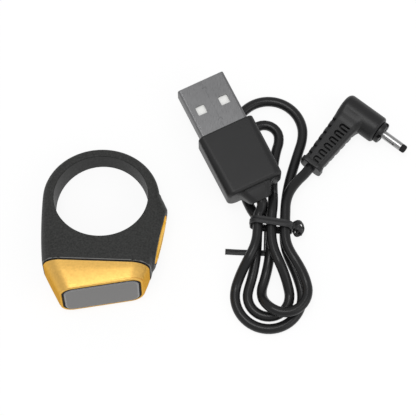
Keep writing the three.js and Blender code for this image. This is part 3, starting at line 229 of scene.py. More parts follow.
def rectangle_ring(half_x, half_y, corner, height, per_corner=10, per_side=10):
    """Points round a rounded rectangle, with points along its sides that crowd towards the corners."""
    ring = []
    for quarter in range(4):
        sign_x = 1 if quarter in (0, 3) else -1
        sign_y = 1 if quarter < 2 else -1
        centre = Vector((sign_x * (half_x - corner), sign_y * (half_y - corner), height))
        for i in range(per_corner + 1):
            angle = (quarter + i / per_corner) * math.pi / 2
            ring.append(centre + Vector((math.cos(angle), math.sin(angle), 0)) * corner)
        start = ring[-1]
        next_x = 1 if quarter in (2, 3) else -1
        next_y = 1 if quarter in (3, 0) else -1
        angle = (quarter + 1) * math.pi / 2
        end = Vector((next_x * (half_x - corner), next_y * (half_y - corner), height))
        end += Vector((math.cos(angle), math.sin(angle), 0)) * corner
        for i in range(1, per_side):
            share = 0.5 - 0.5 * math.cos(math.pi * i / per_side)
            ring.append(start.lerp(end, share))
    return ring


def rounded_rings(*rows):
    return [rectangle_ring(*row) for row in rows]


def oval_rings(*rows):
    return [oval_ring(*row) for row in rows]


def inset_row(half, corner, inset, height):
    """The numbers of a rounded rectangle that is drawn in by the same width all round."""
    return half[0] - inset, half[1] - inset, corner - inset, height


def inset_oval(half, inset, height):
    return half[0] - inset, half[1] - inset, height


def quarter_round(steps, first=0):
    """Points of a quarter circle of radius 1: how far each is in from its side and down from its top."""
    for k in range(first, steps + 1):
        angle = math.pi / 2 * k / steps
        yield 1 - math.cos(angle), 1 - math.sin(angle)


def block(name, x, y, z, place=Matrix()):
    points = [(a, b, c) for c in z for b in y for a in x]
    faces = [(0, 2, 3, 1), (4, 5, 7, 6), (0, 1, 5, 4), (2, 6, 7, 3), (0, 4, 6, 2), (1, 3, 7, 5)]
    return add_mesh(name, points, faces, place)


def apply_modifiers(piece):
    graph = bpy.context.evaluated_depsgraph_get()
    graph.update()
    mesh = bpy.data.meshes.new_from_object(piece.evaluated_get(graph), depsgraph=graph)
    piece.modifiers.clear()
    old = piece.data
    name = old.name
    piece.data = mesh
    bpy.data.meshes.remove(old)
    mesh.name = name
    return piece


def drop(piece):
    mesh = piece.data
    bpy.data.objects.remove(piece)
    bpy.data.meshes.remove(mesh)


def cut(piece, *tools, operation="DIFFERENCE"):
    for tool in tools:
        step = piece.modifiers.new("cut", "BOOLEAN")
        step.operation = operation
        step.solver = "EXACT"
        step.object = tool
    apply_modifiers(piece)
    for tool in tools:
        drop(tool)
    return piece


def join(name, pieces):
    """One mesh out of several separate shells, each with its own material kept."""
    points = []
    faces = []
    slots = []
    materials = []
    for piece in pieces:
        base = len(points)
        points += [vertex.co.copy() for vertex in piece.data.vertices]
        for face in piece.data.polygons:
            faces.append(tuple(base + i for i in face.vertices))
            slots.append(len(materials))
        materials.append(piece.data.materials[0] if piece.data.materials else None)
        drop(piece)
    mesh = bpy.data.meshes.new(name)
    mesh.from_pydata(points, [], faces)
    result = bpy.data.objects.new(name, mesh)
    bpy.context.scene.collection.objects.link(result)
    if any(materials):
        different = list(dict.fromkeys(materials))
        for material in different:
            mesh.materials.append(material)
        for face, slot in zip(mesh.polygons, slots):
            face.material_index = different.index(materials[slot])
    return result


def smooth(piece, angle=32, bevel=0.0, segments=3):
    """Smooth shading with sharp edges kept, after an optional rounding of the edges."""
    if bevel:
        rounding = piece.modifiers.new("rounding", "BEVEL")
        rounding.width = bevel * MM
        rounding.segments = segments
        rounding.limit_method = "ANGLE"
        rounding.angle_limit = math.radians(angle)
        apply_modifiers(piece)
    piece.data.shade_smooth()
    piece.data.set_sharp_from_angle(angle=math.radians(angle))
    normals = piece.modifiers.new("normals", "WEIGHTED_NORMAL")
    normals.keep_sharp = True
    normals.weight = 90
    apply_modifiers(piece)
    return piece


def place_piece(piece, material, body, slot, *nodes):
    if material and not piece.data.materials:
        piece.data.materials.append(material)
    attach(piece, body)
    if nodes:
        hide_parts(*nodes)
    return piece


def repaint(piece, name, place, low, high):
    """Another finish for the faces whose middle lies between two heights of a frame; here it paints
    highlights and reflections on narrow rims.
    """
    piece.data.materials.append(finish(name))
    to_place = place.inverted()
    for face in piece.data.polygons:
        if low < (to_place @ (face.center / MM)).z < high:
            face.material_index = len(piece.data.materials) - 1


# Routes
def catmull_rom(points, spacing):
    """A centripetal curve through the points, in equal steps."""
    points = [Vector(point) for point in points]
    first = points[0] * 2 - points[1]
    last = points[-1] * 2 - points[-2]
    padded = [first] + points + [last]
    fine = []
    for i in range(1, len(padded) - 2):
        p0, p1, p2, p3 = padded[i - 1:i + 3]
        t0 = 0.0
        t1 = t0 + (p1 - p0).length ** 0.5
        t2 = t1 + (p2 - p1).length ** 0.5
        t3 = t2 + (p3 - p2).length ** 0.5
        for k in range(16):
            t = t1 + (t2 - t1) * k / 16
            a1 = p0 * ((t1 - t) / (t1 - t0)) + p1 * ((t - t0) / (t1 - t0))
            a2 = p1 * ((t2 - t) / (t2 - t1)) + p2 * ((t - t1) / (t2 - t1))
            a3 = p2 * ((t3 - t) / (t3 - t2)) + p3 * ((t - t2) / (t3 - t2))
            b1 = a1 * ((t2 - t) / (t2 - t0)) + a2 * ((t - t0) / (t2 - t0))
            b2 = a2 * ((t3 - t) / (t3 - t1)) + a3 * ((t - t1) / (t3 - t1))
            fine.append(b1 * ((t2 - t) / (t2 - t1)) + b2 * ((t - t1) / (t2 - t1)))
    fine.append(points[-1])
    return even_steps(fine, max(2, round(length_of(fine) / spacing)))


def length_of(points):
    return sum((b - a).length for a, b in zip(points, points[1:]))


def even_steps(points, count):
    total = length_of(points)
    result = [points[0].copy()]
    walked = 0.0
    index = 0
    for k in range(1, count):
        goal = total * k / count
        while walked + (points[index + 1] - points[index]).length < goal:
            walked += (points[index + 1] - points[index]).length
            index += 1
        step = (points[index + 1] - points[index]).length
        result.append(points[index].lerp(points[index + 1], (goal - walked) / step))
    result.append(points[-1].copy())
    return result


LOW = 1.2
WAIST_LOW = 2.25
WAIST_HIGH = 5.12
OVER = 4.07
WAIST = (39.1, 2.43)
WAIST_HALF_LENGTH = 1.6
LEFT_COLUMN = 35.9
MIDDLE_COLUMN = 39.1
RIGHT_COLUMN = 42.3
HANK_LOOPS = (
    (LEFT_COLUMN, RIGHT_COLUMN, -1, (38.95, -14.25), 7.85, (0, 0),
     ((0, WAIST_HIGH), (0.09, WAIST_HIGH), (0.27, LOW), (0.74, LOW), (0.88, WAIST_LOW), (1, WAIST_LOW))),
    (RIGHT_COLUMN, LEFT_COLUMN, 1, (38, 26.3), 8.2, (0, -0.62),
     ((0, WAIST_LOW), (0.1, LOW), (0.91, LOW), (1, WAIST_LOW))),
    (LEFT_COLUMN, MIDDLE_COLUMN, -1, (38.95, -14.25), 4.9, (0, 0),
     ((0, WAIST_LOW), (0.12, WAIST_LOW), (0.26, LOW), (0.64, LOW), (0.85, WAIST_HIGH), (1, WAIST_HIGH))),
    (MIDDLE_COLUMN, MIDDLE_COLUMN, 1, (37, 24.8), 3.55, (0.1, -0.5),
     ((0, WAIST_HIGH), (0.05, WAIST_HIGH), (0.17, LOW), (0.88, LOW), (1, WAIST_LOW))),
    (MIDDLE_COLUMN, RIGHT_COLUMN, -1, (42.6, -13.4), 5.3, (0, 0),
     ((0, WAIST_LOW), (0.12, WAIST_LOW), (0.24, LOW), (0.29, LOW), (0.43, OVER), (0.7, OVER),
      (0.85, WAIST_HIGH), (1, WAIST_HIGH))),
)


def height_at(heights, share):
    after = 1
    while after < len(heights) - 1 and heights[after][0] < share:
        after += 1
    from_at, low = heights[after - 1]
    to_at, high = heights[after]
    t = (share - from_at) / (to_at - from_at)
    return low + (high - low) * t * t * (3 - 2 * t)


def cubic(a, b, c, d, count=60):
    points = []
    for i in range(count + 1):
        t = i / count
        s = 1 - t
        points.append(a * s ** 3 + b * (3 * s * s * t) + c * (3 * s * t * t) + d * t ** 3)
    return points


def loop_route(from_x, to_x, side, centre, radius, leans, heights, steps=24):
    """One loop of the hank: a neck out of the waist, a round end and a neck back."""
    opening = math.radians(15)
    first_angle = (0 if side > 0 else math.pi) - opening
    last_angle = first_angle + math.pi + 2 * opening
    middle = Vector((centre[0], centre[1], 0))

    def on_end(angle):
        return middle + Vector((math.cos(angle), math.sin(angle), 0)) * radius

    def neck(waist_x, lean, angle, way):
        waist_point = Vector((waist_x, WAIST[1] + side * WAIST_HALF_LENGTH, 0))
        end_point = on_end(angle)
        pull = (end_point - waist_point).length * 0.42
        near_waist = waist_point + Vector((lean, side, 0)) * pull
        near_end = end_point + Vector((math.sin(angle), -math.cos(angle), 0)) * (pull * way)
        return cubic(waist_point, near_waist, near_end, end_point)

    flat = neck(from_x, leans[0], first_angle, 1)
    for i in range(1, 120):
        flat.append(on_end(first_angle + (last_angle - first_angle) * i / 120))
    flat += list(reversed(neck(to_x, leans[1], last_angle, -1)))
    route = even_steps(flat, steps)
    for i, point in enumerate(route):
        point.z = height_at(heights, i / steps)
    return route


def cord_route():
    """The whole lead's middle line, from inside the grip's neck to inside the strain relief."""
    points = [PLUG @ Vector((0, -0.24, -2.2)), PLUG @ Vector((0, -0.25, -3.2))]
    points += [Vector((36.76, 6.7, 6.25)), Vector((36.5, 5.5, 5.6)), Vector((36.02, 4.4, 5.17))]
    points += [Vector((LEFT_COLUMN, 3.23, WAIST_HIGH)), Vector((LEFT_COLUMN, WAIST[1], WAIST_HIGH))]
    for loop in HANK_LOOPS:
        points += loop_route(*loop)
    points += [Vector((RIGHT_COLUMN, WAIST[1], WAIST_HIGH)), Vector((RIGHT_COLUMN, 4.83, WAIST_HIGH))]
    points += [Vector((42.4, 7.6, 5.1)), Vector((43.2, 10.4, 4.8)), Vector((44.8, 13.1, 4.1))]
    points += [Vector((46.7, 15.4, 3.5)), ELBOW @ Vector((-17.9, 0, 0)), ELBOW @ Vector((-17.0, 0, 0))]
    route = catmull_rom(points, 0.8)
    for point in route:
        point.z = max(point.z, LOW)
    return route


# Materials
def new_material(name):
    material = bpy.data.materials.new(name)
    material.use_nodes = True
    tree = material.node_tree
    tree.nodes.clear()
    return material, tree


def add_node(tree, kind, **values):
    node = tree.nodes.new(kind)
    for key, value in values.items():
        if key in node.inputs:
            node.inputs[key].default_value = value
        else:
            setattr(node, key, value)
    return node


def noise(tree, source, scale, stretch=(1, 1, 1)):
    """Noise on object coordinates. scale is in grains for each metre."""
    mapping = add_node(tree, "ShaderNodeMapping", Scale=stretch)
    tree.links.new(source.outputs["Object"], mapping.inputs["Vector"])
    grain = add_node(tree, "ShaderNodeTexNoise", Scale=scale, Detail=3.0)
    tree.links.new(mapping.outputs["Vector"], grain.inputs["Vector"])
    return grain.outputs["Fac"]


def spread(tree, source, low, high):
    """The middle of a noise's range stretched over the range from low to high."""
    to_range = add_node(tree, "ShaderNodeMapRange",
                        **{"From Min": 0.3, "From Max": 0.7, "To Min": low, "To Max": high})
    tree.links.new(source, to_range.inputs["Value"])
    return to_range.outputs["Result"]


def two_tones(tree, factor, first, second):
    mix = add_node(tree, "ShaderNodeMix", data_type="RGBA", A=(*first, 1), B=(*second, 1))
    tree.links.new(factor, mix.inputs["Factor"])
    return mix.outputs["Result"]


def reckon(tree, operation, first, second):
    """One step of arithmetic on two values, each of them a socket or a number."""
    node = add_node(tree, "ShaderNodeMath", operation=operation)
    for socket, value in zip(node.inputs, (first, second)):
        if isinstance(value, (int, float)):
            socket.default_value = value
        else:
            tree.links.new(value, socket)
    return node.outputs[0]


def finish_of(name, colour, roughness, metallic=0.0, tint=0.12, grain=4500, depth=0.02, patch=250,
              rough_spread=0.05, stretch=(1, 1, 1), coat=0.0, coat_roughness=0.1, specular=0.5,
              edge_tint=(1, 1, 1)):
    """A moulded, machined or coated finish: tone patches, uneven gloss and a fine grain in relief."""
    material, tree = new_material(name)
    source = add_node(tree, "ShaderNodeTexCoord")
    shader = add_node(tree, "ShaderNodeBsdfPrincipled", **{
        "Metallic": metallic, "Coat Weight": coat, "Coat Roughness": coat_roughness,
        "Specular IOR Level": specular, "Specular Tint": (*edge_tint, 1)})
    output = add_node(tree, "ShaderNodeOutputMaterial")
    darker = [channel * (1 - tint) for channel in colour]
    lighter = [min(1, channel * (1 + tint)) for channel in colour]
    patches = noise(tree, source, patch)
    tone = two_tones(tree, spread(tree, patches, 0, 1), darker, lighter)
    fine = noise(tree, source, grain, stretch)
    rough = spread(tree, fine, max(0.02, roughness - rough_spread), min(1, roughness + rough_spread))
    relief = add_node(tree, "ShaderNodeBump", Strength=0.5, Distance=depth * MM)
    tree.links.new(tone, shader.inputs["Base Color"])
    tree.links.new(rough, shader.inputs["Roughness"])
    tree.links.new(fine, relief.inputs["Height"])
    tree.links.new(relief.outputs["Normal"], shader.inputs["Normal"])
    tree.links.new(shader.outputs["BSDF"], output.inputs["Surface"])
    return material


# What each finish gives to finish_of. A colour in words is one of CountingRingSizes
FINISHES = {
    "body_black": dict(colour="body_colour", roughness=0.48, grain=5000, patch=2600, tint=0.3,
                       specular=0.1),
    # A lighter grey for the shell's rounded seam edge: a painted highlight, not wear.
    "worn_black": dict(colour=(0.15, 0.15, 0.148), roughness=0.4, depth=0.01, grain=5000, tint=0.2,
                       specular=0.4),
    "satin_gold": dict(colour="gold_colour", roughness=0.52, metallic=1.0, tint=0.07, grain=7000,
                       depth=0.004,
                       patch=1800, stretch=(0.15, 1, 1), rough_spread=0.04, edge_tint=(0.5, 0.3, 0.06)),
    # A paler gold for the bezel's base chamfer: a painted highlight.
    "pale_gold": dict(colour=(0.9, 0.68, 0.36), roughness=0.4, metallic=1.0, tint=0.05, grain=7000,
                      depth=0.002),
    "polished_gold": dict(colour="gold_colour", roughness=0.17, metallic=1.0, tint=0.03, grain=7000,
                          depth=0.001,
                          rough_spread=0.03, edge_tint=(0.8, 0.5, 0.2)),
    "smoked_glass": dict(colour="glass_colour", roughness=0.06, tint=0.03, grain=900, depth=0.001,
                         rough_spread=0.02, coat=0.3, coat_roughness=0.02),
    # A lighter grey for the window's rounded rim: a painted reflection, not ground glass.
    "ground_glass": dict(colour=(0.2, 0.2, 0.205), roughness=0.25, tint=0.04, grain=5000, depth=0.002),
    "seal_rubber": dict(colour=(0.01, 0.01, 0.011), roughness=0.75, specular=0.3),
    "lead_black": dict(colour="lead_colour", roughness=0.42, depth=0.01, grain=8000, tint=0.08,
                       specular=0.35),
    "cord_black": dict(colour="lead_colour", roughness=0.3, depth=0.006, grain=6000, tint=0.08,
                       specular=0.28),
    "tie_black": dict(colour=(0.016, 0.016, 0.017), roughness=0.5, depth=0.03, grain=5000, specular=0.4),
    "plated_steel": dict(colour=(0.215, 0.215, 0.219), roughness=0.32, metallic=1.0, tint=0.05, grain=6000,
                         depth=0.002, stretch=(1, 0.12, 1), rough_spread=0.06, edge_tint=(0.6, 0.6, 0.6)),
    "bright_steel": dict(colour=(0.38, 0.38, 0.38), roughness=0.28, metallic=1.0, tint=0.05, grain=8000,
                         depth=0.003),
    "copper_alloy": dict(colour=(0.75, 0.42, 0.2), roughness=0.25, metallic=1.0, tint=0.08, grain=8000,
                         depth=0.003),
    "contact_gold": dict(colour=(0.85, 0.6, 0.22), roughness=0.22, metallic=1.0, tint=0.05, grain=8000,
                         depth=0.002),
    "insulator_white": dict(colour=(0.88, 0.88, 0.86), roughness=0.45, depth=0.01, tint=0.02),
    "panel_black": dict(colour=(0.012, 0.014, 0.018), roughness=0.12, depth=0.002, coat=0.5),
    "board_green": dict(colour=(0.012, 0.09, 0.045), roughness=0.35, depth=0.01, grain=2500, tint=0.25,
                        coat=0.3),
    "chip_black": dict(colour=(0.02, 0.02, 0.022), roughness=0.55, depth=0.015, grain=9000),
    "ceramic_white": dict(colour=(0.62, 0.58, 0.5), roughness=0.4, depth=0.008),
    "ribbon_amber": dict(colour=(0.42, 0.14, 0.025), roughness=0.3, depth=0.005, tint=0.18, coat=0.4),
    "cell_foil": dict(colour=(0.6, 0.61, 0.63), roughness=0.3, metallic=0.9, depth=0.03, grain=1200,
                      patch=120),
    "tray_grey": dict(colour=(0.06, 0.062, 0.066), roughness=0.5, depth=0.012),
}
MADE = {}


def finish(name):
    """The named finish, made once."""
    if name not in MADE:
        settings = dict(FINISHES[name])
        if isinstance(settings["colour"], str):
            settings["colour"] = tuple(getattr(bpy.context.scene.counting_ring, settings["colour"]))
        MADE[name] = finish_of(name, **settings)
    return MADE[name]


# Sizes and colours that a user would change
class CountingRingSizes(bpy.types.PropertyGroup):
    bezel_rounding: FloatProperty(
        name="Bezel rounding", description="Rounding between the bezel's wall and its crown, in metres",
        default=0.0004, min=0.00005, max=0.001, unit="LENGTH")
    boss_blend: FloatProperty(
        name="Boss blend", description="Width over which the button's boss melts into the band, in metres",
        default=0.0006, min=0.0001, max=0.002, unit="LENGTH")
    band_points: IntProperty(
        name="Band points", description="Points round the band's outline", default=300, min=120, max=600)
    body_colour: FloatVectorProperty(
        name="Body colour", description="Moulded black of the ring", size=3, subtype="COLOR",
        default=(0.039, 0.0395, 0.0385), min=0, max=1)
    gold_colour: FloatVectorProperty(
        name="Gold colour", description="Plating of the bezel and button", size=3, subtype="COLOR",
        default=(0.87, 0.54, 0.145), min=0, max=1)
    glass_colour: FloatVectorProperty(
        name="Glass colour", description="Smoked display window", size=3, subtype="COLOR",
        default=(0.058, 0.054, 0.052), min=0, max=1)
    lead_colour: FloatVectorProperty(
        name="Lead colour", description="Moulded black of the charging lead", size=3, subtype="COLOR",
        default=(0.012, 0.012, 0.0125), min=0, max=1)


# Camera and cord
class SCENE_OT_ring_camera(bpy.types.Operator):
    """Add the camera at the photograph's angle"""

    bl_idname = "scene.ring_camera"
    bl_label = "Camera"

    def execute(self, context):
        azimuth = math.radians(CAMERA_AZIMUTH)
        elevation = math.radians(CAMERA_ELEVATION)
        right = Vector((math.cos(azimuth), math.sin(azimuth), 0))
        back = Vector((math.sin(azimuth) * math.cos(elevation), -math.cos(azimuth) * math.cos(elevation),
                       math.sin(elevation)))
        data = bpy.data.cameras.new("camera")
        data.sensor_width = SENSOR_WIDTH
        data.lens = SENSOR_WIDTH * FOCAL_PIXELS / PICTURE_PIXELS
        data.clip_start = 0.01
        data.clip_end = 20
        camera = bpy.data.objects.new("camera", data)
        context.scene.collection.objects.link(camera)
        basis = Matrix((right, back.cross(right), back)).transposed().to_4x4()
        place = Vector(CAMERA_TARGET) * MM + back * (CAMERA_DISTANCE * MM)
        camera.matrix_world = Matrix.Translation(place) @ basis
        context.scene.camera = camera
        return {"FINISHED"}


class OBJECT_OT_lead_cord(bpy.types.Operator):
    """Add the charging cord along its tail, tied hank and run"""

    bl_idname = "object.lead_cord"
    bl_label = "Cord"

    def execute(self, context):
        route = cord_route()
        data = bpy.data.curves.new("lead_cord", "CURVE")
        data.dimensions = "3D"
        data.bevel_depth = CORD_DIAMETER / 2 * MM
        data.bevel_resolution = 6
        data.use_fill_caps = True
        spline = data.splines.new("POLY")
        spline.points.add(len(route) - 1)
        for place, point in zip(spline.points, route):
            place.co = (*(point * MM), 1)
        spline.use_smooth = True
        cord = bpy.data.objects.new("lead_cord", data)
        context.scene.collection.objects.link(cord)
        place_piece(cord, finish("cord_black"), LEAD_BODY, "lead_black", "cord_tail", "cord_hank",
                    "cord_run")
        return {"FINISHED"}


# Ring
def seam_outline(count):
    """Points and inward directions of the band and head seen along the bore, past the seam."""
    side = BORE + SIDE_WALL
    back = BORE + BACK_WALL
    half = SEAM_HALF[0]
    start = Vector((half, -SEAM_REACH, 0))
    points = [Vector((half - 0.6, -SEAM_REACH - 4, 0)), start]
    wall = cubic(start, Vector((half + 0.7, -SEAM_REACH + 4.4, 0)), Vector((side + 0.05, -6, 0)),
                 Vector((side, 0, 0)), 60)
    points += wall[1:]
    for i in range(1, 120):
        angle = math.pi * i / 120
        points.append(Vector((side * math.cos(angle), back * math.sin(angle), 0)))
    points += [Vector((-point.x, point.y, 0)) for point in reversed(wall)]
    points.append(Vector((-half + 0.6, -SEAM_REACH - 4, 0)))
    ring = even_steps(points, count)
    across = even_steps([ring[-1], ring[0]], count // 4)[1:-1]
    inward = []
    for i, point in enumerate(ring):
        along = ring[min(i + 1, count)] - ring[max(i - 1, 0)]
        inward.append(Vector((-along.y, along.x, 0)).normalized())
    inward += [Vector((-point.x / (half - 0.6), 0, 0)) for point in across]
    return ring + across, inward


def half_depth(y):
    return HALF_DEPTH_AT_BORE - math.tan(TAPER) * y


# The boss under the button, from its top down: height, half length and half width in the button's frame
PAD_SECTIONS = ((0.0, 7.5, 4.3), (-0.25, 7.95, 4.65), (-1.2, 9.3, 4.95), (-2.4, 11.0, 5.15),
                (-3.4, 11.4, 5.2))
PAD_FALL = 12


def pad_height(u, v):
    """Height of the button's boss over a place in the button's frame."""
    last = None
    for height, half_u, half_v in PAD_SECTIONS:
        reach = math.hypot(u / half_u, v / half_v)
        if reach <= 1:
            if last is None:
                return height
            share = (1 - reach) / (1 - reach + last[1] - 1)
            return height + (last[0] - height) * share
        last = (height, reach)
    return last[0] - (last[1] - 1) * PAD_FALL


def melted(a, b, width):
    """The greater of two heights, rounded where they meet."""
    gap = max(width - abs(a - b), 0) / width
    return max(a, b) + gap * gap * width / 4


def band_form(count, blend):
    outline, inward = seam_outline(count)
    per_length = (SEAM_CORNER - BACK_ROUNDING) / (SEAM_REACH + BORE + BACK_WALL)
    steps = 8
    rows = 26
    angles = [math.pi / 2 * k / steps for k in range(1, steps + 1)]
    levels = [(-1, angle, 0) for angle in reversed(angles)]
    levels += [(0, 0, -1 + 2 * k / rows) for k in range(rows + 1)]
    levels += [(1, angle, 0) for angle in angles]
    to_button = BUTTON.inverted() @ RING
    from_button = to_button.inverted()
    rings = []
    for sign, angle, share in levels:
        ring = []
        on_cap = sign and angle > math.pi / 2 - 0.01
        for point, normal in zip(outline, inward):
            rounding = BACK_ROUNDING + per_length * (BORE + BACK_WALL - point.y)
            place = point + normal * rounding * (1 - math.cos(angle))
            if sign:
                place.z = sign * (half_depth(place.y) - rounding * (1 - math.sin(angle)))
            else:
                place.z = share * (half_depth(place.y) - rounding)
            near_boss = place.x > 9 and -20 < place.y < 6
            if near_boss and not on_cap:
                there = to_button @ place
                if there.z > -4:
                    there.z = melted(there.z, pad_height(there.x, there.y), blend)
                    place = from_button @ there
            ring.append(place)
        rings.append(ring)
    return loft("ring_shell_form", rings, RING)


def bore_form():
    steps = 6
    past = (0.0, -3.0)
    quarter = []
    for k in range(steps + 1):
        quarter.append((math.cos(k / steps * math.pi / 2),
                        BORE_ROUNDING * (1 - math.sin(k / steps * math.pi / 2))))
    other = []
    for k in range(steps + 1):
        share = 1 - k / steps
        other.append((math.cos(share * math.pi / 2), BORE_ROUNDING * (1 - math.sin(share * math.pi / 2))))
    rings = []
    for sign, levels in ((-1, [past] + other), (1, quarter + [past])):
        for closeness, sunk in levels:
            radius = BORE + BORE_ROUNDING * (1 - closeness)
            ring = []
            for i in range(192):
                angle = 2 * math.pi * i / 192
                y = radius * math.sin(angle)
                ring.append(Vector((radius * math.cos(angle), y, sign * (half_depth(y) - sunk))))
            rings.append(ring)
    return loft("bore_form", rings, RING)


def round_seam_edge(shell, width):
    """Round the shell's outer edge at the seam, and give the rounding the shell's second material, a
    lighter grey that paints a highlight on it.
    """
    to_ring = RING.inverted()
    shape = bmesh.new()
    shape.from_mesh(shell.data)
    edges = []
    for edge in shape.edges:
        ends = [to_ring @ (vertex.co / MM) for vertex in edge.verts]
        on_seam = all(abs(end.y + SEAM_REACH) < 0.004 for end in ends)
        outside = all(abs(end.x) > CAVITY_HALF[0] + 0.4 or abs(end.z) > CAVITY_HALF[1] + 0.4
                      for end in ends)
        if on_seam and outside and len(edge.link_faces) == 2:
            if edge.calc_face_angle(0) > math.radians(40):
                edges.append(edge)
    bmesh.ops.bevel(shape, geom=edges, offset=width * MM, segments=3, profile=0.5, affect="EDGES",
                    material=1)
    shape.to_mesh(shell.data)
    shape.free()


class OBJECT_OT_ring_shell(bpy.types.Operator):
    """Add the black moulded band and head"""

    bl_idname = "object.ring_shell"
    bl_label = "Ring shell"

    def execute(self, context):
        sizes = context.scene.counting_ring
        shell = band_form(sizes.band_points, sizes.boss_blend / MM)
        past_seam = block("past_seam", (-40, 40), (-40, -SEAM_REACH), (-40, 40), RING)
        recess = loft("recess", oval_rings(
            (6.28, 3.68, -BUTTON_RECESS_DEPTH), (6.28, 3.68, -0.2), (6.33, 3.73, -0.06), (6.45, 3.85, 0.03),
            (6.45, 3.85, 3)), BUTTON)
        well = loft("well", oval_rings((5.77, 3.17, -2.3), (5.77, 3.17, 1)), BUTTON)
        pocket = loft("pocket", rounded_rings((2.2, 1.75, 0.3, -4.4, 4, 2), (2.2, 1.75, 0.3, 0, 4, 2)),
                      BUTTON)
        cavity = loft("cavity", rounded_rings(
            (*CAVITY_HALF, 1.2, FLOOR_REACH, 6, 4), (*CAVITY_HALF, 1.2, SEAM_REACH + 1, 6, 4)), HEAD)
        channel = block("channel", (9.7, 10.9), (-1.1, 1.1), (10.4, FLOOR_REACH + 0.5), HEAD)
        socket = loft("socket", oval_rings(
            (2, 2, -20, 48), (2, 2, -12.75, 48), (1.2, 1.2, -12.35, 48), (1.2, 1.2, -10.05, 48)), LANE)
        cut(shell, past_seam, bore_form(), cavity, recess, well, pocket, channel, socket)
        post = [(0.7, FLOOR_REACH + 0.4), (0.7, 16.15), (0.8, 16.25), (1.05, 16.25), (1.15, 16.15),
                (1.4, FLOOR_REACH - 0.2), (0.7, FLOOR_REACH - 0.2)]
        parts = [shell]
        for x, y in SCREW_PLACES:
            parts.append(lathe("post", post, HEAD @ move(x, y, 0), 32))
        shell = join("ring_shell_moulding", parts)
        shell.data.materials.append(finish("body_black"))
        # The second material paints a highlight on the rounded seam edge.
        shell.data.materials.append(finish("worn_black"))
        round_seam_edge(shell, SEAM_EDGE_ROUNDING)
        smooth(shell, 30)
        place_piece(shell, None, RING_BODY, "shell_black", "ring_shell")
        return {"FINISHED"}


class OBJECT_OT_seam_gasket(bpy.types.Operator):
    """Add the rubber gasket between shell and bezel"""

    bl_idname = "object.seam_gasket"
    bl_label = "Seam gasket"

    def execute(self, context):
        rings = rounded_rings((12.3, 6.68, 4.0, 17.45), (12.38, 6.76, 4.08, 17.55),
                              (12.3, 6.68, 4.0, 17.65),
                              (11.3, 5.68, 3.0, 17.65), (11.3, 5.68, 3.0, 17.45))
        gasket = smooth(loft("seam_gasket_ring", rings, HEAD, closed=True))
        place_piece(gasket, finish("seal_rubber"), RING_BODY, "black_rubber", "seam_gasket")
        return {"FINISHED"}


# Head
def display_rings(*rows):
    """Rounded rectangles on the slanted display, in the head's frame."""
    to_head = HEAD.inverted() @ DISPLAY
    return [[to_head @ point for point in ring] for ring in rounded_rings(*rows)]


def between(low, high, share):
    return [a.lerp(b, share) for a, b in zip(low, high)]


class OBJECT_OT_gold_bezel(bpy.types.Operator):
    """Add the slanted gold bezel with its recess for the window"""

    bl_idname = "object.gold_bezel"
    bl_label = "Gold bezel"

    def execute(self, context):
        rounding = context.scene.counting_ring.bezel_rounding / MM
        low = BEZEL_REACH
        rim = low + BEZEL_CHAMFER
        half = (SEAM_HALF[0] - BEZEL_STEP, SEAM_HALF[1])
        chamfered, base, swollen = rounded_rings(
            inset_row(half, SEAM_CORNER, BEZEL_CHAMFER, low), (*half, SEAM_CORNER, rim),
            (half[0] + 0.05, half[1] + 0.18, SEAM_CORNER, rim))
        crown_corner = RECESS_CORNER + 0.6
        edge = display_rings((*CROWN_HALF, crown_corner, -0.12))[0]
        rings = [chamfered, base]
        for share in (0.06, 0.12, 0.2, 0.28, 0.36, 0.44, 0.52, 0.6, 0.68, 0.76, 0.84, 0.92):
            start = between(base, swollen, min(1, share / 0.35))
            ring = between(start, edge, share)
            bow = BEZEL_BOW * 4 * share ** 1.5 * (1 - share)
            for point in ring:
                point.y += math.copysign(bow * (1 - (point.x / SEAM_HALF[0]) ** 2), point.y)
            rings.append(ring)
        crown = [inset_row(CROWN_HALF, crown_corner, rounding * inset, -rounding * sunk)
                 for inset, sunk in quarter_round(6)]
        rings += display_rings(
            *crown, inset_row(RECESS_HALF, RECESS_CORNER, -0.08, 0), (*RECESS_HALF, RECESS_CORNER, -0.08),
            (*RECESS_HALF, RECESS_CORNER, -RECESS_DEPTH), (8.2, 4.75, 1.5, -RECESS_DEPTH),
            (8.2, 4.75, 1.5, -1.3),
            (8.75, 5.1, 1.6, -1.3))
        rings.append(rectangle_ring(11.1, 5.48, 3, low))
        bezel = smooth(loft("gold_bezel_ring", rings, HEAD, closed=True), 40)
        place_piece(bezel, finish("satin_gold"), RING_BODY, "gold_plate", "gold_bezel")
        # The chamfer at the bezel's foot gets a paler gold: a painted highlight.
        repaint(bezel, "pale_gold", HEAD, low + 0.01, rim - 0.01)
        return {"FINISHED"}


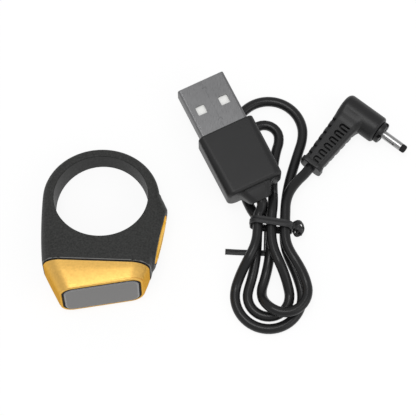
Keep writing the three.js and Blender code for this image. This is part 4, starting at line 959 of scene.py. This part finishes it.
class OBJECT_OT_display_glass(bpy.types.Operator):
    """Add the smoked display window and its seal"""

    bl_idname = "object.display_glass"
    bl_label = "Display glass"

    def execute(self, context):
        low = WINDOW_PROUD - WINDOW_THICKNESS
        rows = [inset_row(WINDOW_HALF, WINDOW_CORNER, 0.05, low), (*WINDOW_HALF, WINDOW_CORNER, low + 0.05)]
        for inset, sunk in quarter_round(8):
            rows.append(inset_row(WINDOW_HALF, WINDOW_CORNER, WINDOW_ROUNDING * inset,
                                  WINDOW_PROUD - WINDOW_ROUNDING_DEPTH * sunk))
        window = smooth(loft("display_glass", rounded_rings(*rows), DISPLAY), 40)
        place_piece(window, finish("smoked_glass"), RING_BODY, "smoked_glass", "display_window")
        # The window's rounded rim gets a lighter grey: a painted reflection.
        repaint(window, "ground_glass", DISPLAY, WINDOW_PROUD - WINDOW_ROUNDING_DEPTH - 0.01,
                WINDOW_PROUD - 0.01)
        rings = rounded_rings((9.05, 5.75, 2.55, low), (9.05, 5.75, 2.55, -0.06), (8.99, 5.69, 2.49, 0.0),
                              (8.79, 5.49, 2.34, 0.0), (8.73, 5.43, 2.28, -0.06), (8.73, 5.43, 2.28, low))
        seal = smooth(loft("window_seal_ring", rings, DISPLAY, closed=True))
        place_piece(seal, finish("seal_rubber"), RING_BODY, "black_rubber", "window_seal")
        return {"FINISHED"}


class OBJECT_OT_counting_button(bpy.types.Operator):
    """Add the oval trim ring and the dished button"""

    bl_idname = "object.counting_button"
    bl_label = "Counting button"

    def execute(self, context):
        rows = [(*TRIM_HALF, -TRIM_DEPTH), (*TRIM_HALF, TRIM_PROUD - TRIM_ROUNDING)]
        for inset, sunk in quarter_round(8, 1):
            rows.append(inset_oval(TRIM_HALF, TRIM_ROUNDING * inset, TRIM_PROUD - TRIM_ROUNDING * sunk))
        for sunk, widened in quarter_round(8):
            rows.append(inset_oval(TRIM_HOLE, -TRIM_ROUNDING * widened, TRIM_PROUD - TRIM_ROUNDING * sunk))
        rows.append((*TRIM_HOLE, -TRIM_DEPTH))
        trim = smooth(loft("button_trim_ring", oval_rings(*rows), BUTTON, closed=True))
        place_piece(trim, finish("polished_gold"), RING_BODY, "gold_plate", "button_trim")
        rows = [(0.9, 0.9, -2.47), (0.9, 0.9, -1.8), (*FLANGE_HALF, -1.8), (*FLANGE_HALF, -1.35),
                (*CAP_HALF, -1.35), (*CAP_HALF, CAP_TOP - CAP_ROUNDING)]
        for inset, sunk in quarter_round(4, 1):
            rows.append(inset_oval(CAP_HALF, CAP_ROUNDING * inset, CAP_TOP - CAP_ROUNDING * sunk))
        rim_x, rim_y = (half - CAP_ROUNDING for half in CAP_HALF)
        for k in range(1, 17):
            share = math.cos(math.pi / 2 * k / 17)
            rows.append((rim_x * share, rim_y * share, CAP_TOP - CAP_DISH * (1 - share * share)))
        cap = smooth(loft("counting_button", oval_rings(*rows), BUTTON))
        place_piece(cap, finish("polished_gold"), BUTTON_BODY, "gold_plate", "button_cap")
        return {"FINISHED"}


# Geometry Nodes
def repeat_tree():
    """A tree that puts one piece at each place of the mesh that it runs on, and narrows it row by row."""
    if "repeat_at_places" in bpy.data.node_groups:
        return bpy.data.node_groups["repeat_at_places"]
    tree = bpy.data.node_groups.new("repeat_at_places", "GeometryNodeTree")
    for name, kind in (("Places", "Geometry"), ("Piece", "Object"), ("Material", "Material"),
                       ("Count", "Int"),
                       ("Turn", "Rotation"), ("Last Size", "Vector")):
        tree.interface.new_socket(name=name, in_out="INPUT", socket_type="NodeSocket" + kind)
    tree.interface.new_socket(name="Geometry", in_out="OUTPUT", socket_type="NodeSocketGeometry")
    start = add_node(tree, "NodeGroupInput")
    index = add_node(tree, "GeometryNodeInputIndex")
    last = reckon(tree, "SUBTRACT", start.outputs["Count"], 1)
    share = reckon(tree, "DIVIDE", index.outputs["Index"], last)
    size = add_node(tree, "ShaderNodeMix", data_type="VECTOR", A=(1, 1, 1))
    info = add_node(tree, "GeometryNodeObjectInfo")
    copies = add_node(tree, "GeometryNodeInstanceOnPoints")
    real = add_node(tree, "GeometryNodeRealizeInstances")
    paint = add_node(tree, "GeometryNodeSetMaterial")
    end = add_node(tree, "NodeGroupOutput")
    for output, socket in (
            (share, size.inputs["Factor"]),
            (start.outputs["Last Size"], size.inputs["B"]),
            (start.outputs["Piece"], info.inputs["Object"]),
            (start.outputs["Places"], copies.inputs["Points"]),
            (info.outputs["Geometry"], copies.inputs["Instance"]),
            (start.outputs["Turn"], copies.inputs["Rotation"]),
            (size.outputs["Result"], copies.inputs["Scale"]),
            (copies.outputs["Instances"], real.inputs["Geometry"]),
            (real.outputs["Geometry"], paint.inputs["Geometry"]),
            (start.outputs["Material"], paint.inputs["Material"]),
            (paint.outputs["Geometry"], end.inputs["Geometry"])):
        tree.links.new(output, socket)
    return tree


def repeated(name, piece, places, place, material, last_size=(1, 1, 1)):
    """A plain mesh of one piece repeated at places in a frame. The piece is drawn in that frame's axes."""
    holder = add_mesh(name, places, [], place)
    tree = repeat_tree()
    step = holder.modifiers.new("repeat", "NODES")
    step.node_group = tree
    keys = {item.name: item.identifier for item in tree.interface.items_tree
            if item.item_type == "SOCKET" and item.in_out == "INPUT"}
    step[keys["Piece"]] = piece
    step[keys["Material"]] = material
    step[keys["Count"]] = max(2, len(places))
    step[keys["Turn"]] = place.to_euler()
    step[keys["Last Size"]] = tuple(float(value) for value in last_size)
    holder.update_tag()
    apply_modifiers(holder)
    drop(piece)
    return holder


class OBJECT_OT_tray_screws(bpy.types.Operator):
    """Add the three cross-head screws of the tray"""

    bl_idname = "object.tray_screws"
    bl_label = "Tray screws"

    def execute(self, context):
        head_base = 17.1
        profile = [(0, 14.2), (0.36, 14.2), (0.6, 14.6)]
        for k in range(6):
            height = 14.7 + k * 0.38
            profile += [(0.6, height), (0.52, height + 0.1), (0.52, height + 0.16), (0.6, height + 0.3)]
        profile += [(0.6, head_base), (1.05, head_base), (1.05, 17.52), (0.98, 17.64), (0.86, 17.7),
                    (0, 17.7)]
        screw = lathe("screw", [(radius, height - head_base) for radius, height in profile], Matrix(), 32)
        slot = block("slot", (-0.75, 0.75), (-0.12, 0.12), (0.3, 1.5))
        cross = block("cross", (-0.12, 0.12), (-0.75, 0.75), (0.3, 1.5))
        cut(screw, slot, cross)
        places = [(x, y, head_base) for x, y in SCREW_PLACES]
        screws = smooth(repeated("tray_screw_set", screw, places, HEAD, finish("bright_steel")))
        place_piece(screws, None, RING_BODY, "bare_steel", "tray_screw_1", "tray_screw_2", "tray_screw_3")
        return {"FINISHED"}


class OBJECT_OT_board_capacitors(bpy.types.Operator):
    """Add the three small ceramic capacitors with their silvered ends"""

    bl_idname = "object.board_capacitors"
    bl_label = "Board capacitors"

    def execute(self, context):
        base = 18.95
        body = block("capacitor", (-0.46, 0.46), (-0.24, 0.24), (0, 0.48))
        smooth(body, 30, 0.04)
        places = [(5, 0.4, base), (5, -0.6, base), (7, 0.4, base)]
        bodies = repeated("capacitors", body, places, HEAD, finish("ceramic_white"))
        end = block("capacitor_end", (-0.1, 0.1), (-0.25, 0.25), (0, 0.5))
        smooth(end, 30, 0.03)
        ends = [(x + side * 0.4, y, z) for x, y, z in places for side in (-1, 1)]
        caps = repeated("capacitor_ends", end, ends, HEAD, finish("bright_steel"))
        both = smooth(join("board_capacitor_set", [bodies, caps]))
        place_piece(both, None, RING_BODY, "ceramic_white", "capacitor_1", "capacitor_2", "capacitor_3")
        return {"FINISHED"}


# Lead
def drooped(ring):
    tilt = math.radians(14)
    return [Vector((p.x, p.y * math.cos(tilt) - 0.25, p.z - p.y * math.sin(tilt))) for p in ring]


class OBJECT_OT_usb_plug(bpy.types.Operator):
    """Add the moulded grip with its neck, the steel shell and its contacts"""

    bl_idname = "object.usb_plug"
    bl_label = "USB plug"

    def execute(self, context):
        half_x, half_y = GRIP_HALF
        neck = rounded_rings((2.3, 1.8, 1.5, -2.9), (2.45, 1.95, 1.6, -2.86), (2.5, 2.0, 1.6, -2.75),
                             (2.8, 2.15, 1.7, -2.5))
        rings = [drooped(ring) for ring in neck]
        rings += rounded_rings((3.2, 2.3, 1.7, -1.7), (3.7, 2.5, 1.7, -0.7), (4.1, 2.65, 1.7, -0.15),
                               (4.4, 2.8, 1.7, 0.0))
        for sunk, inset in quarter_round(6):
            inset *= GRIP_REAR_ROUNDING
            rings.append(rectangle_ring(half_x - inset, half_y - inset * 0.7, 1.9,
                                        GRIP_REAR_ROUNDING * sunk))
        for share in (0.15, 0.3, 0.5, 0.7, 0.85):
            height = GRIP_REAR_ROUNDING + (GRIP_LENGTH - 1.4) * share
            rings.append(rectangle_ring(half_x, half_y, 1.9 - 0.5 * share, height))
        for inset, sunk in quarter_round(5):
            inset *= GRIP_FRONT_ROUNDING
            height = GRIP_LENGTH - GRIP_FRONT_ROUNDING * sunk
            rings.append(rectangle_ring(half_x - inset, half_y - inset, 1.4, height))
        rings += rounded_rings(
            (USB_HALF[0] + 0.2, USB_HALF[1] + 0.2, 0.6, GRIP_LENGTH),
            (USB_HALF[0] + 0.08, USB_HALF[1] + 0.08, 0.5, GRIP_LENGTH - 0.12),
            (USB_HALF[0] + 0.08, USB_HALF[1] + 0.08, 0.5, USB_START - 0.2))
        grip = smooth(loft("usb_grip_moulding", rings, PLUG), 38)
        place_piece(grip, finish("lead_black"), LEAD_BODY, "lead_black", "usb_grip")

        outer_x, outer_y = USB_HALF
        inner_x = outer_x - USB_WALL
        inner_y = outer_y - USB_WALL
        rings = rounded_rings(
            (outer_x, outer_y, 0.6, USB_START), (outer_x, outer_y, 0.6, USB_END - 0.12),
            (outer_x - 0.1, outer_y - 0.1, 0.5, USB_END), (inner_x + 0.1, inner_y + 0.1, 0.35, USB_END),
            (inner_x, inner_y, 0.25, USB_END - 0.12), (inner_x, inner_y, 0.25, USB_START))
        shell = loft("usb_shell_tube", rings, PLUG, closed=True)
        tools = []
        for x in (-3, 3):
            place = PLUG @ move(x, 0, 22.75) @ turn("X", math.pi / 2)
            rings = rounded_rings((1.15, 1.15, 0.28, -9, 5, 3), (1.15, 1.15, 0.28, 9, 5, 3))
            tools.append(loft("window", rings, place))
        top = outer_y - 0.09
        tools.append(block("seam_line", (-0.05, 0.05), (top, 9), (GRIP_LENGTH - 1, 40), PLUG))
        for height in (18.6, 27.2):
            key = [Vector((-0.55, -0.5, 0)), Vector((0.55, -0.32, 0)), Vector((0.55, 0.32, 0)),
                   Vector((-0.55, 0.5, 0))]
            rings = [[point + Vector((0, 0, z)) for point in key] for z in (-9, -top)]
            tools.append(loft("seam_key", rings, PLUG @ move(0, 0, height) @ turn("X", math.pi / 2)))
        cut(shell, *tools)
        smooth(shell, 35)
        place_piece(shell, finish("plated_steel"), LEAD_BODY, "bare_steel", "usb_shell")

        pairs = []
        for name, x, length in (("inner_contacts", 1, 11.0), ("outer_contacts", 3.5, 12.0)):
            contact = smooth(block("contact", (-0.5, 0.5), (-0.08, 0.05), (0, length)), 30, 0.04, 2)
            places = [(-x, 0, USB_START + 3.1), (x, 0, USB_START + 3.1)]
            pairs.append(repeated(name, contact, places, PLUG, finish("contact_gold")))
        contacts = smooth(join("usb_contact_set", pairs))
        place_piece(contacts, None, LEAD_BODY, "gold_plate",
                    "usb_contact_1", "usb_contact_2", "usb_contact_3", "usb_contact_4")
        return {"FINISHED"}


def relief_half(distance):
    """Half height and half width of the strain relief at a distance from the plug's axis."""
    share = (distance - 3.8) / (RELIEF_LENGTH - 1.3 - 3.8)
    share = max(0, min(1, share))
    return 2.45 - 0.35 * share, 3.2 - 0.7 * share


# The strain relief's frame: X down, Y across towards the tip and Z out from the plug's axis
RELIEF = ELBOW @ turn("Z", math.pi) @ Matrix(((0, 0, 1, 0), (1, 0, 0, 0), (0, 1, 0, 0), (0, 0, 0, 1)))


def relief_form():
    """The strain relief before its slots are cut: a saddle at the plug, a tapering run and an end lip."""
    rings = []
    for distance, half_x, half_y, shift, corner in (
            (0.0, 3.3, 3.7, 0.28, 1.4), (2.0, 3.22, 3.68, 0.26, 1.5), (2.7, 2.95, 3.58, 0.2, 1.6),
            (3.3, 2.7, 3.42, 0.12, 1.6), (3.9, 2.52, 3.27, 0.04, 1.5), (4.5, 2.44, 3.18, 0.0, 1.35)):
        ring = rectangle_ring(half_x, half_y, corner, distance, 8, 6)
        rings.append([point + Vector((0, shift, 0)) for point in ring])
    lip = RELIEF_LENGTH - 1.3
    for k in range(1, 7):
        distance = 4.5 + (lip - 4.5) * k / 6
        half_x, half_y = relief_half(distance)
        rings.append(rectangle_ring(half_x, half_y, 1.3 - 0.02 * k, distance, 8, 6))
    for inset, distance in ((0.12, 0.03), (0.02, 0.12), (0, 0.2), (0, 1.05), (0.06, 1.2), (0.2, 1.3)):
        rings.append(rectangle_ring(2.4 - inset, 2.85 - inset, 1.2 - inset, lip + distance, 8, 6))
    return loft("relief_form", rings, RELIEF)


def slot_cutter(length):
    """A groove round three sides of a tongue, drawn from its closed end, for one slot of the relief."""
    outline = []
    steps = 8
    outer = length / 2
    inner = length / 2 - 0.5
    reach = 2.6
    for k in range(steps + 1):
        angle = math.pi * (0.5 + k / steps)
        outline.append((outer + outer * math.cos(angle), outer + outer * math.sin(angle)))
    outline += [(reach, 0), (reach, outer - inner)]
    for k in range(steps + 1):
        angle = math.pi * (1.5 - k / steps)
        outline.append((outer + inner * math.cos(angle), outer + inner * math.sin(angle)))
    outline += [(reach, outer + inner), (reach, length)]
    rings = [[Vector((x, y, z)) for y, z in outline] for x in (-5, -1.15)]
    return loft("slot_cutter", rings)


def cut_slots(relief):
    pitch = (RELIEF_LENGTH - ELBOW_RADIUS - RELIEF_ENDS) / RELIEF_SLOTS
    length = pitch * 0.74
    first = ELBOW_RADIUS + RELIEF_ENDS * 0.6
    heights = [first + i * pitch for i in range(RELIEF_SLOTS)]
    tools = []
    for side in (0, math.pi):
        place = RELIEF @ turn("Z", side)
        pockets = [(0, -0.6, height) for height in heights]
        tools.append(repeated("pockets", slot_cutter(length), pockets, place, finish("lead_black"),
                              (1, 0.7, 1)))
        notch = block("notch", (-6, -0.5), (-6, -2.1), (0, length * 0.6))
        notches = [(0, 0, height) for height in heights]
        tools.append(repeated("notches", notch, notches, place, finish("lead_black"), (1, 0.72, 1)))
    return cut(relief, *tools)


class OBJECT_OT_angle_plug(bpy.types.Operator):
    """Add the right-angle plug body, its slotted strain relief, collar, barrel and tip"""

    bl_idname = "object.angle_plug"
    bl_label = "Right-angle plug"

    def execute(self, context):
        self.grip()
        self.collar()
        self.barrel()
        return {"FINISHED"}

    def grip(self):
        rear = -3.5
        front = 7.3
        radius = ELBOW_RADIUS
        profile = [(0, rear), (radius - ELBOW_REAR_ROUNDING, rear)]
        rounding = ELBOW_REAR_ROUNDING
        for sunk, inset in quarter_round(8, 1):
            profile.append((radius - rounding * inset, rear + rounding * sunk))
        profile += [(radius, rear + 2.5), (radius, 2), (radius, front - 1.2)]
        rounding = ELBOW_FRONT_ROUNDING
        for inset, sunk in quarter_round(6):
            profile.append((radius - rounding * inset, front - rounding * sunk))
        profile.append((0, front))
        body = lathe("angle_plug_moulding", profile, ELBOW, 96)
        relief = cut_slots(relief_form())
        body.data.materials.clear()
        relief.data.materials.clear()
        cut(body, relief, operation="UNION")
        smooth(body, 38)
        place_piece(body, finish("lead_black"), LEAD_BODY, "lead_black", "plug_grip")

    def collar(self):
        start = 7.4
        wide = COLLAR_RADIUS
        profile = [(1.08, start + 0.3), (1.08, start), (wide - 0.1, start), (wide, start + 0.1),
                   (wide, COLLAR_END - 0.35), (wide - 0.1, COLLAR_END - 0.14),
                   (wide - 0.28, COLLAR_END - 0.02),
                   (wide - 0.45, COLLAR_END), (1.2, COLLAR_END), (1.08, COLLAR_END - 0.1)]
        collar = lathe("plug_collar_ring", profile, ELBOW, 64)
        notches = []
        for i in range(2):
            place = ELBOW @ turn("Z", math.pi / 4 + i * math.pi / 2)
            notches.append(block("notch", (-9, 9), (-0.45, 0.45), (start + 0.55, 12), place))
        cut(collar, *notches)
        smooth(collar, 35)
        place_piece(collar, finish("lead_black"), LEAD_BODY, "lead_black", "plug_collar")

    def barrel(self):
        base = 7.8
        end = BARREL_END
        profile = [(0.78, base), (1.0, base), (1.0, 9.0), (0.97, 9.05), (0.97, 9.15), (1.0, 9.2),
                   (1.0, end - 0.1), (0.94, end), (0.78, end)]
        barrel = lathe("plug_barrel_tube", profile, ELBOW, 64)
        side = ELBOW @ turn("Z", math.radians(150))
        slot = block("slot", (-2, 2), (-0.09, 0.09), (9.6, 12.0), side)
        eye = loft("eye", [oval_ring(0.26, 0.26, -2, 24), oval_ring(0.26, 0.26, 2, 24)],
                   side @ move(0, 0, 12.05) @ turn("Y", math.pi / 2))
        cut(barrel, slot, eye)
        smooth(barrel, 30)
        place_piece(barrel, finish("bright_steel"), LEAD_BODY, "bare_steel", "plug_barrel")
        profile = [(0.35, -1.5), (0.73, -1.5), (0.73, 0.03), (0.93, 0.05), (0.98, 0.15),
                   (0.97, 0.95), (0.88, 1.15), (0.7, 1.28), (0.5, 1.3), (0.35, 1.2)]
        tip = lathe("plug_tip_ring", [(radius, end + height) for radius, height in profile], ELBOW, 64)
        smooth(tip, 40)
        place_piece(tip, finish("seal_rubber"), LEAD_BODY, "black_rubber", "plug_tip")


def strip_section(half_width, thickness, rib):
    """Section of the tie: a thin strip with its wire raised along the middle."""
    upper = []
    steps = 12
    for i in range(steps + 1):
        across = half_width * (1 - 2 * i / steps)
        near = max(0, 1 - abs(across) / 0.32)
        upper.append((across, thickness / 2 + rib * near * near * (3 - 2 * near)))
    lower = [(across, -height) for across, height in reversed(upper)]
    return upper + lower


def sweep(name, route, across, section, closed=False):
    """A section carried along a route. across gives the strip's own width direction at each point."""
    rings = []
    count = len(route)
    for i, point in enumerate(route):
        before = route[(i - 1) % count] if closed else route[max(i - 1, 0)]
        after = route[(i + 1) % count] if closed else route[min(i + 1, count - 1)]
        along = (after - before).normalized()
        wide = across(i, point)
        wide = (wide - along * wide.dot(along)).normalized()
        out = along.cross(wide)
        rings.append([point + wide * x + out * y for x, y in section])
    return loft(name, rings, Matrix(), closed)


class OBJECT_OT_twist_tie(bpy.types.Operator):
    """Add the wire-cored tie round the hank's waist, with its twisted knot and flat tail"""

    bl_idname = "object.twist_tie"
    bl_label = "Twist tie"

    def execute(self, context):
        middle = Vector((WAIST[0], WAIST[1], (WAIST_LOW + WAIST_HIGH) / 2))
        lean = math.radians(-7)
        along = Vector((math.cos(lean), math.sin(lean), 0))
        width_way = Vector((-math.sin(lean), math.cos(lean), 0))
        route = []
        for point in rectangle_ring(4.7 + 0.22, 2.935 + 0.22, 1.7, 0, 10, 8):
            route.append(middle + along * point.x + Vector((0, 0, point.y)))

        def wavering(i, point):
            return turn("Z", math.radians(9) * math.sin(0.19 * i + 0.6)) @ width_way

        band = sweep("tie_band", route, wavering, strip_section(0.86, 0.3, 0.14), True)

        centre = Vector((45.4, 1.53, 3.39))
        tilt = turn("Y", math.radians(22)) @ turn("X", math.radians(50))
        knot_route = []
        turns = 2.1
        for i in range(73):
            angle = math.radians(150) - 2 * math.pi * turns * i / 72
            reach = 1.5 - 1.15 * (i / 72)
            drift = -0.5 + 1.0 * i / 72
            on_turn = Vector((reach * math.cos(angle), 1.35 * reach * math.sin(angle), drift))
            knot_route.append(centre + (tilt @ on_turn))
        flat = (tilt @ Vector((0, 0, 1))).normalized()
        knot = sweep("tie_knot", knot_route, lambda i, point: flat, strip_section(0.74, 0.26, 0.07))
        hook_route = catmull_rom([middle + along * 4.75 + Vector((0, 0, 0.9)), Vector((44.6, 2.1, 4.6)),
                                  Vector((45.5, 1.6, 4.75)), Vector((46.3, 1.0, 4.2)),
                                  Vector((46.2, 0.7, 3.2))], 0.25)
        hook = sweep("tie_hook", hook_route, lambda i, point: width_way, strip_section(0.6, 0.3, 0.12))

        under = middle.z - 2.935 - 0.25
        link_route = catmull_rom([Vector((38.2, 2.3, under)), Vector((38.2, 0, under)),
                                  Vector((38.2, -3.6, under))], 0.5)
        link = sweep("tie_link", link_route, lambda i, point: Vector((1, 0, 0)),
                     strip_section(0.68, 0.26, 0.1))
        tail_route = catmull_rom([Vector((40.6, -3.58, under)), Vector((36, -3.6, under)),
                                  Vector((32, -3.62, under)), Vector((28.5, -3.55, under))], 0.5)
        tail = sweep("tie_tail", tail_route, lambda i, point: Vector((0, 1, 0)),
                     strip_section(0.68, 0.28, 0.1))
        tie = smooth(join("twist_tie_strip", [band, knot, hook, link, tail]), 40)
        place_piece(tie, finish("tie_black"), LEAD_BODY, "lead_black", "twist_tie")
        return {"FINISHED"}


# Solids that keep their own shape
NODE_FINISHES = {
    "display_panel": "panel_black",
    "display_carrier": "tray_grey",
    "display_ribbon": "ribbon_amber",
    "main_board": "board_green",
    "bluetooth_controller": "chip_black",
    "memory_chip": "chip_black",
    "charge_controller": "chip_black",
    "clock_crystal": "bright_steel",
    "chip_antenna": "ceramic_white",
    "tray": "tray_grey",
    "battery_pad": "seal_rubber",
    "battery_cell": "cell_foil",
    "battery_board": "board_green",
    "motor_can": "bright_steel",
    "motor_boot": "seal_rubber",
    "motor_shaft": "bright_steel",
    "motor_weight": "plated_steel",
    "socket_housing": "seal_rubber",
    "socket_pin": "contact_gold",
    "socket_spring": "copper_alloy",
    "button_gasket": "seal_rubber",
    "switch_body": "chip_black",
    "switch_dome": "bright_steel",
    "switch_plunger": "insulator_white",
    "button_ribbon": "ribbon_amber",
    "usb_tongue": "insulator_white",
    "plug_core": "copper_alloy",
}


class OBJECT_OT_inner_finishes(bpy.types.Operator):
    """Give the inner solids their finishes"""

    bl_idname = "object.inner_finishes"
    bl_label = "Inner finishes"

    def execute(self, context):
        for node, name in NODE_FINISHES.items():
            piece = bpy.data.objects[node]
            material = finish(name)
            if not piece.material_slots:
                piece.data.materials.append(material)
            for slot in piece.material_slots:
                slot.material = material
        return {"FINISHED"}


class OBJECT_OT_declare_cord(bpy.types.Operator):
    """An empty step: it does nothing"""

    bl_idname = "object.declare_cord"
    bl_label = "Cord facts"

    def execute(self, context):
        return {"FINISHED"}


# Stage
class SCENE_OT_ring_stage(bpy.types.Operator):
    """Add the pale floor, the soft lamps and the surroundings"""

    bl_idname = "scene.ring_stage"
    bl_label = "Stage"

    def execute(self, context):
        scene = context.scene
        scene.view_settings.view_transform = "Standard"
        corners = [(-FLOOR_HALF, -FLOOR_HALF, 0), (FLOOR_HALF, -FLOOR_HALF, 0),
                   (FLOOR_HALF, FLOOR_HALF, 0), (-FLOOR_HALF, FLOOR_HALF, 0)]
        floor = add_mesh("floor", corners, [(0, 1, 2, 3)])
        material, tree = new_material("floor_paper")
        path = add_node(tree, "ShaderNodeLightPath")
        seen = reckon(tree, "MAXIMUM", path.outputs["Is Camera Ray"], path.outputs["Is Glossy Ray"])
        through = reckon(tree, "MAXIMUM", seen, path.outputs["Is Transmission Ray"])
        share = reckon(tree, "MULTIPLY", through, FLOOR_GLOW_SHARE)
        paper = add_node(tree, "ShaderNodeBsdfDiffuse", Color=(FLOOR_GREY, FLOOR_GREY, FLOOR_GREY, 1))
        glow = add_node(tree, "ShaderNodeEmission", Color=(1, 1, 1, 1), Strength=FLOOR_GLOW)
        mix = add_node(tree, "ShaderNodeMixShader")
        output = add_node(tree, "ShaderNodeOutputMaterial")
        tree.links.new(share, mix.inputs["Fac"])
        tree.links.new(paper.outputs["BSDF"], mix.inputs[1])
        tree.links.new(glow.outputs["Emission"], mix.inputs[2])
        tree.links.new(mix.outputs["Shader"], output.inputs["Surface"])
        floor.data.materials.append(material)

        world = bpy.data.worlds.new("studio")
        world.use_nodes = True
        background = world.node_tree.nodes["Background"]
        background.inputs["Color"].default_value = (1, 1, 1, 1)
        background.inputs["Strength"].default_value = STUDIO_STRENGTH
        scene.world = world
        for settings in LAMPS:
            self.lamp(scene, *settings)
        return {"FINISHED"}

    def lamp(self, scene, name, place, size, power):
        data = bpy.data.lights.new(name, "AREA")
        data.shape = "SQUARE"
        data.size = size
        data.energy = power
        lamp = bpy.data.objects.new(name, data)
        scene.collection.objects.link(lamp)
        lamp.location = place
        lamp.rotation_euler = (Vector(LAMP_TARGET) - Vector(place)).to_track_quat("-Z", "Y").to_euler()


OPERATORS = (
    SCENE_OT_ring_camera, OBJECT_OT_lead_cord, OBJECT_OT_ring_shell, OBJECT_OT_seam_gasket,
    OBJECT_OT_gold_bezel, OBJECT_OT_display_glass, OBJECT_OT_counting_button, OBJECT_OT_tray_screws,
    OBJECT_OT_board_capacitors, OBJECT_OT_usb_plug, OBJECT_OT_angle_plug, OBJECT_OT_twist_tie,
    OBJECT_OT_inner_finishes, OBJECT_OT_declare_cord, SCENE_OT_ring_stage,
)


class VIEW3D_PT_counting_ring(bpy.types.Panel):
    """Lists the ring's sizes and the steps that build it"""

    bl_label = "Counting Ring"
    bl_space_type = "VIEW_3D"
    bl_region_type = "UI"
    bl_category = "Counting Ring"

    def draw(self, context):
        column = self.layout.column()
        for name in CountingRingSizes.__annotations__:
            column.prop(context.scene.counting_ring, name)
        for operator in OPERATORS:
            column.operator(operator.bl_idname)


CLASSES = (CountingRingSizes, *OPERATORS, VIEW3D_PT_counting_ring)


def register():
    for one in CLASSES:
        bpy.utils.register_class(one)
    bpy.types.Scene.counting_ring = PointerProperty(type=CountingRingSizes)


def unregister():
    del bpy.types.Scene.counting_ring
    for one in reversed(CLASSES):
        bpy.utils.unregister_class(one)


def main():
    register()
    bpy.ops.scene.ring_camera()
    bpy.ops.object.lead_cord()
    bpy.ops.object.ring_shell()
    bpy.ops.object.seam_gasket()
    bpy.ops.object.gold_bezel()
    bpy.ops.object.display_glass()
    bpy.ops.object.counting_button()
    bpy.ops.object.tray_screws()
    bpy.ops.object.board_capacitors()
    bpy.ops.object.usb_plug()
    bpy.ops.object.angle_plug()
    bpy.ops.object.twist_tie()
    bpy.ops.object.inner_finishes()
    bpy.ops.object.declare_cord()
    bpy.ops.scene.ring_stage()


if __name__ == "__main__":
    main()
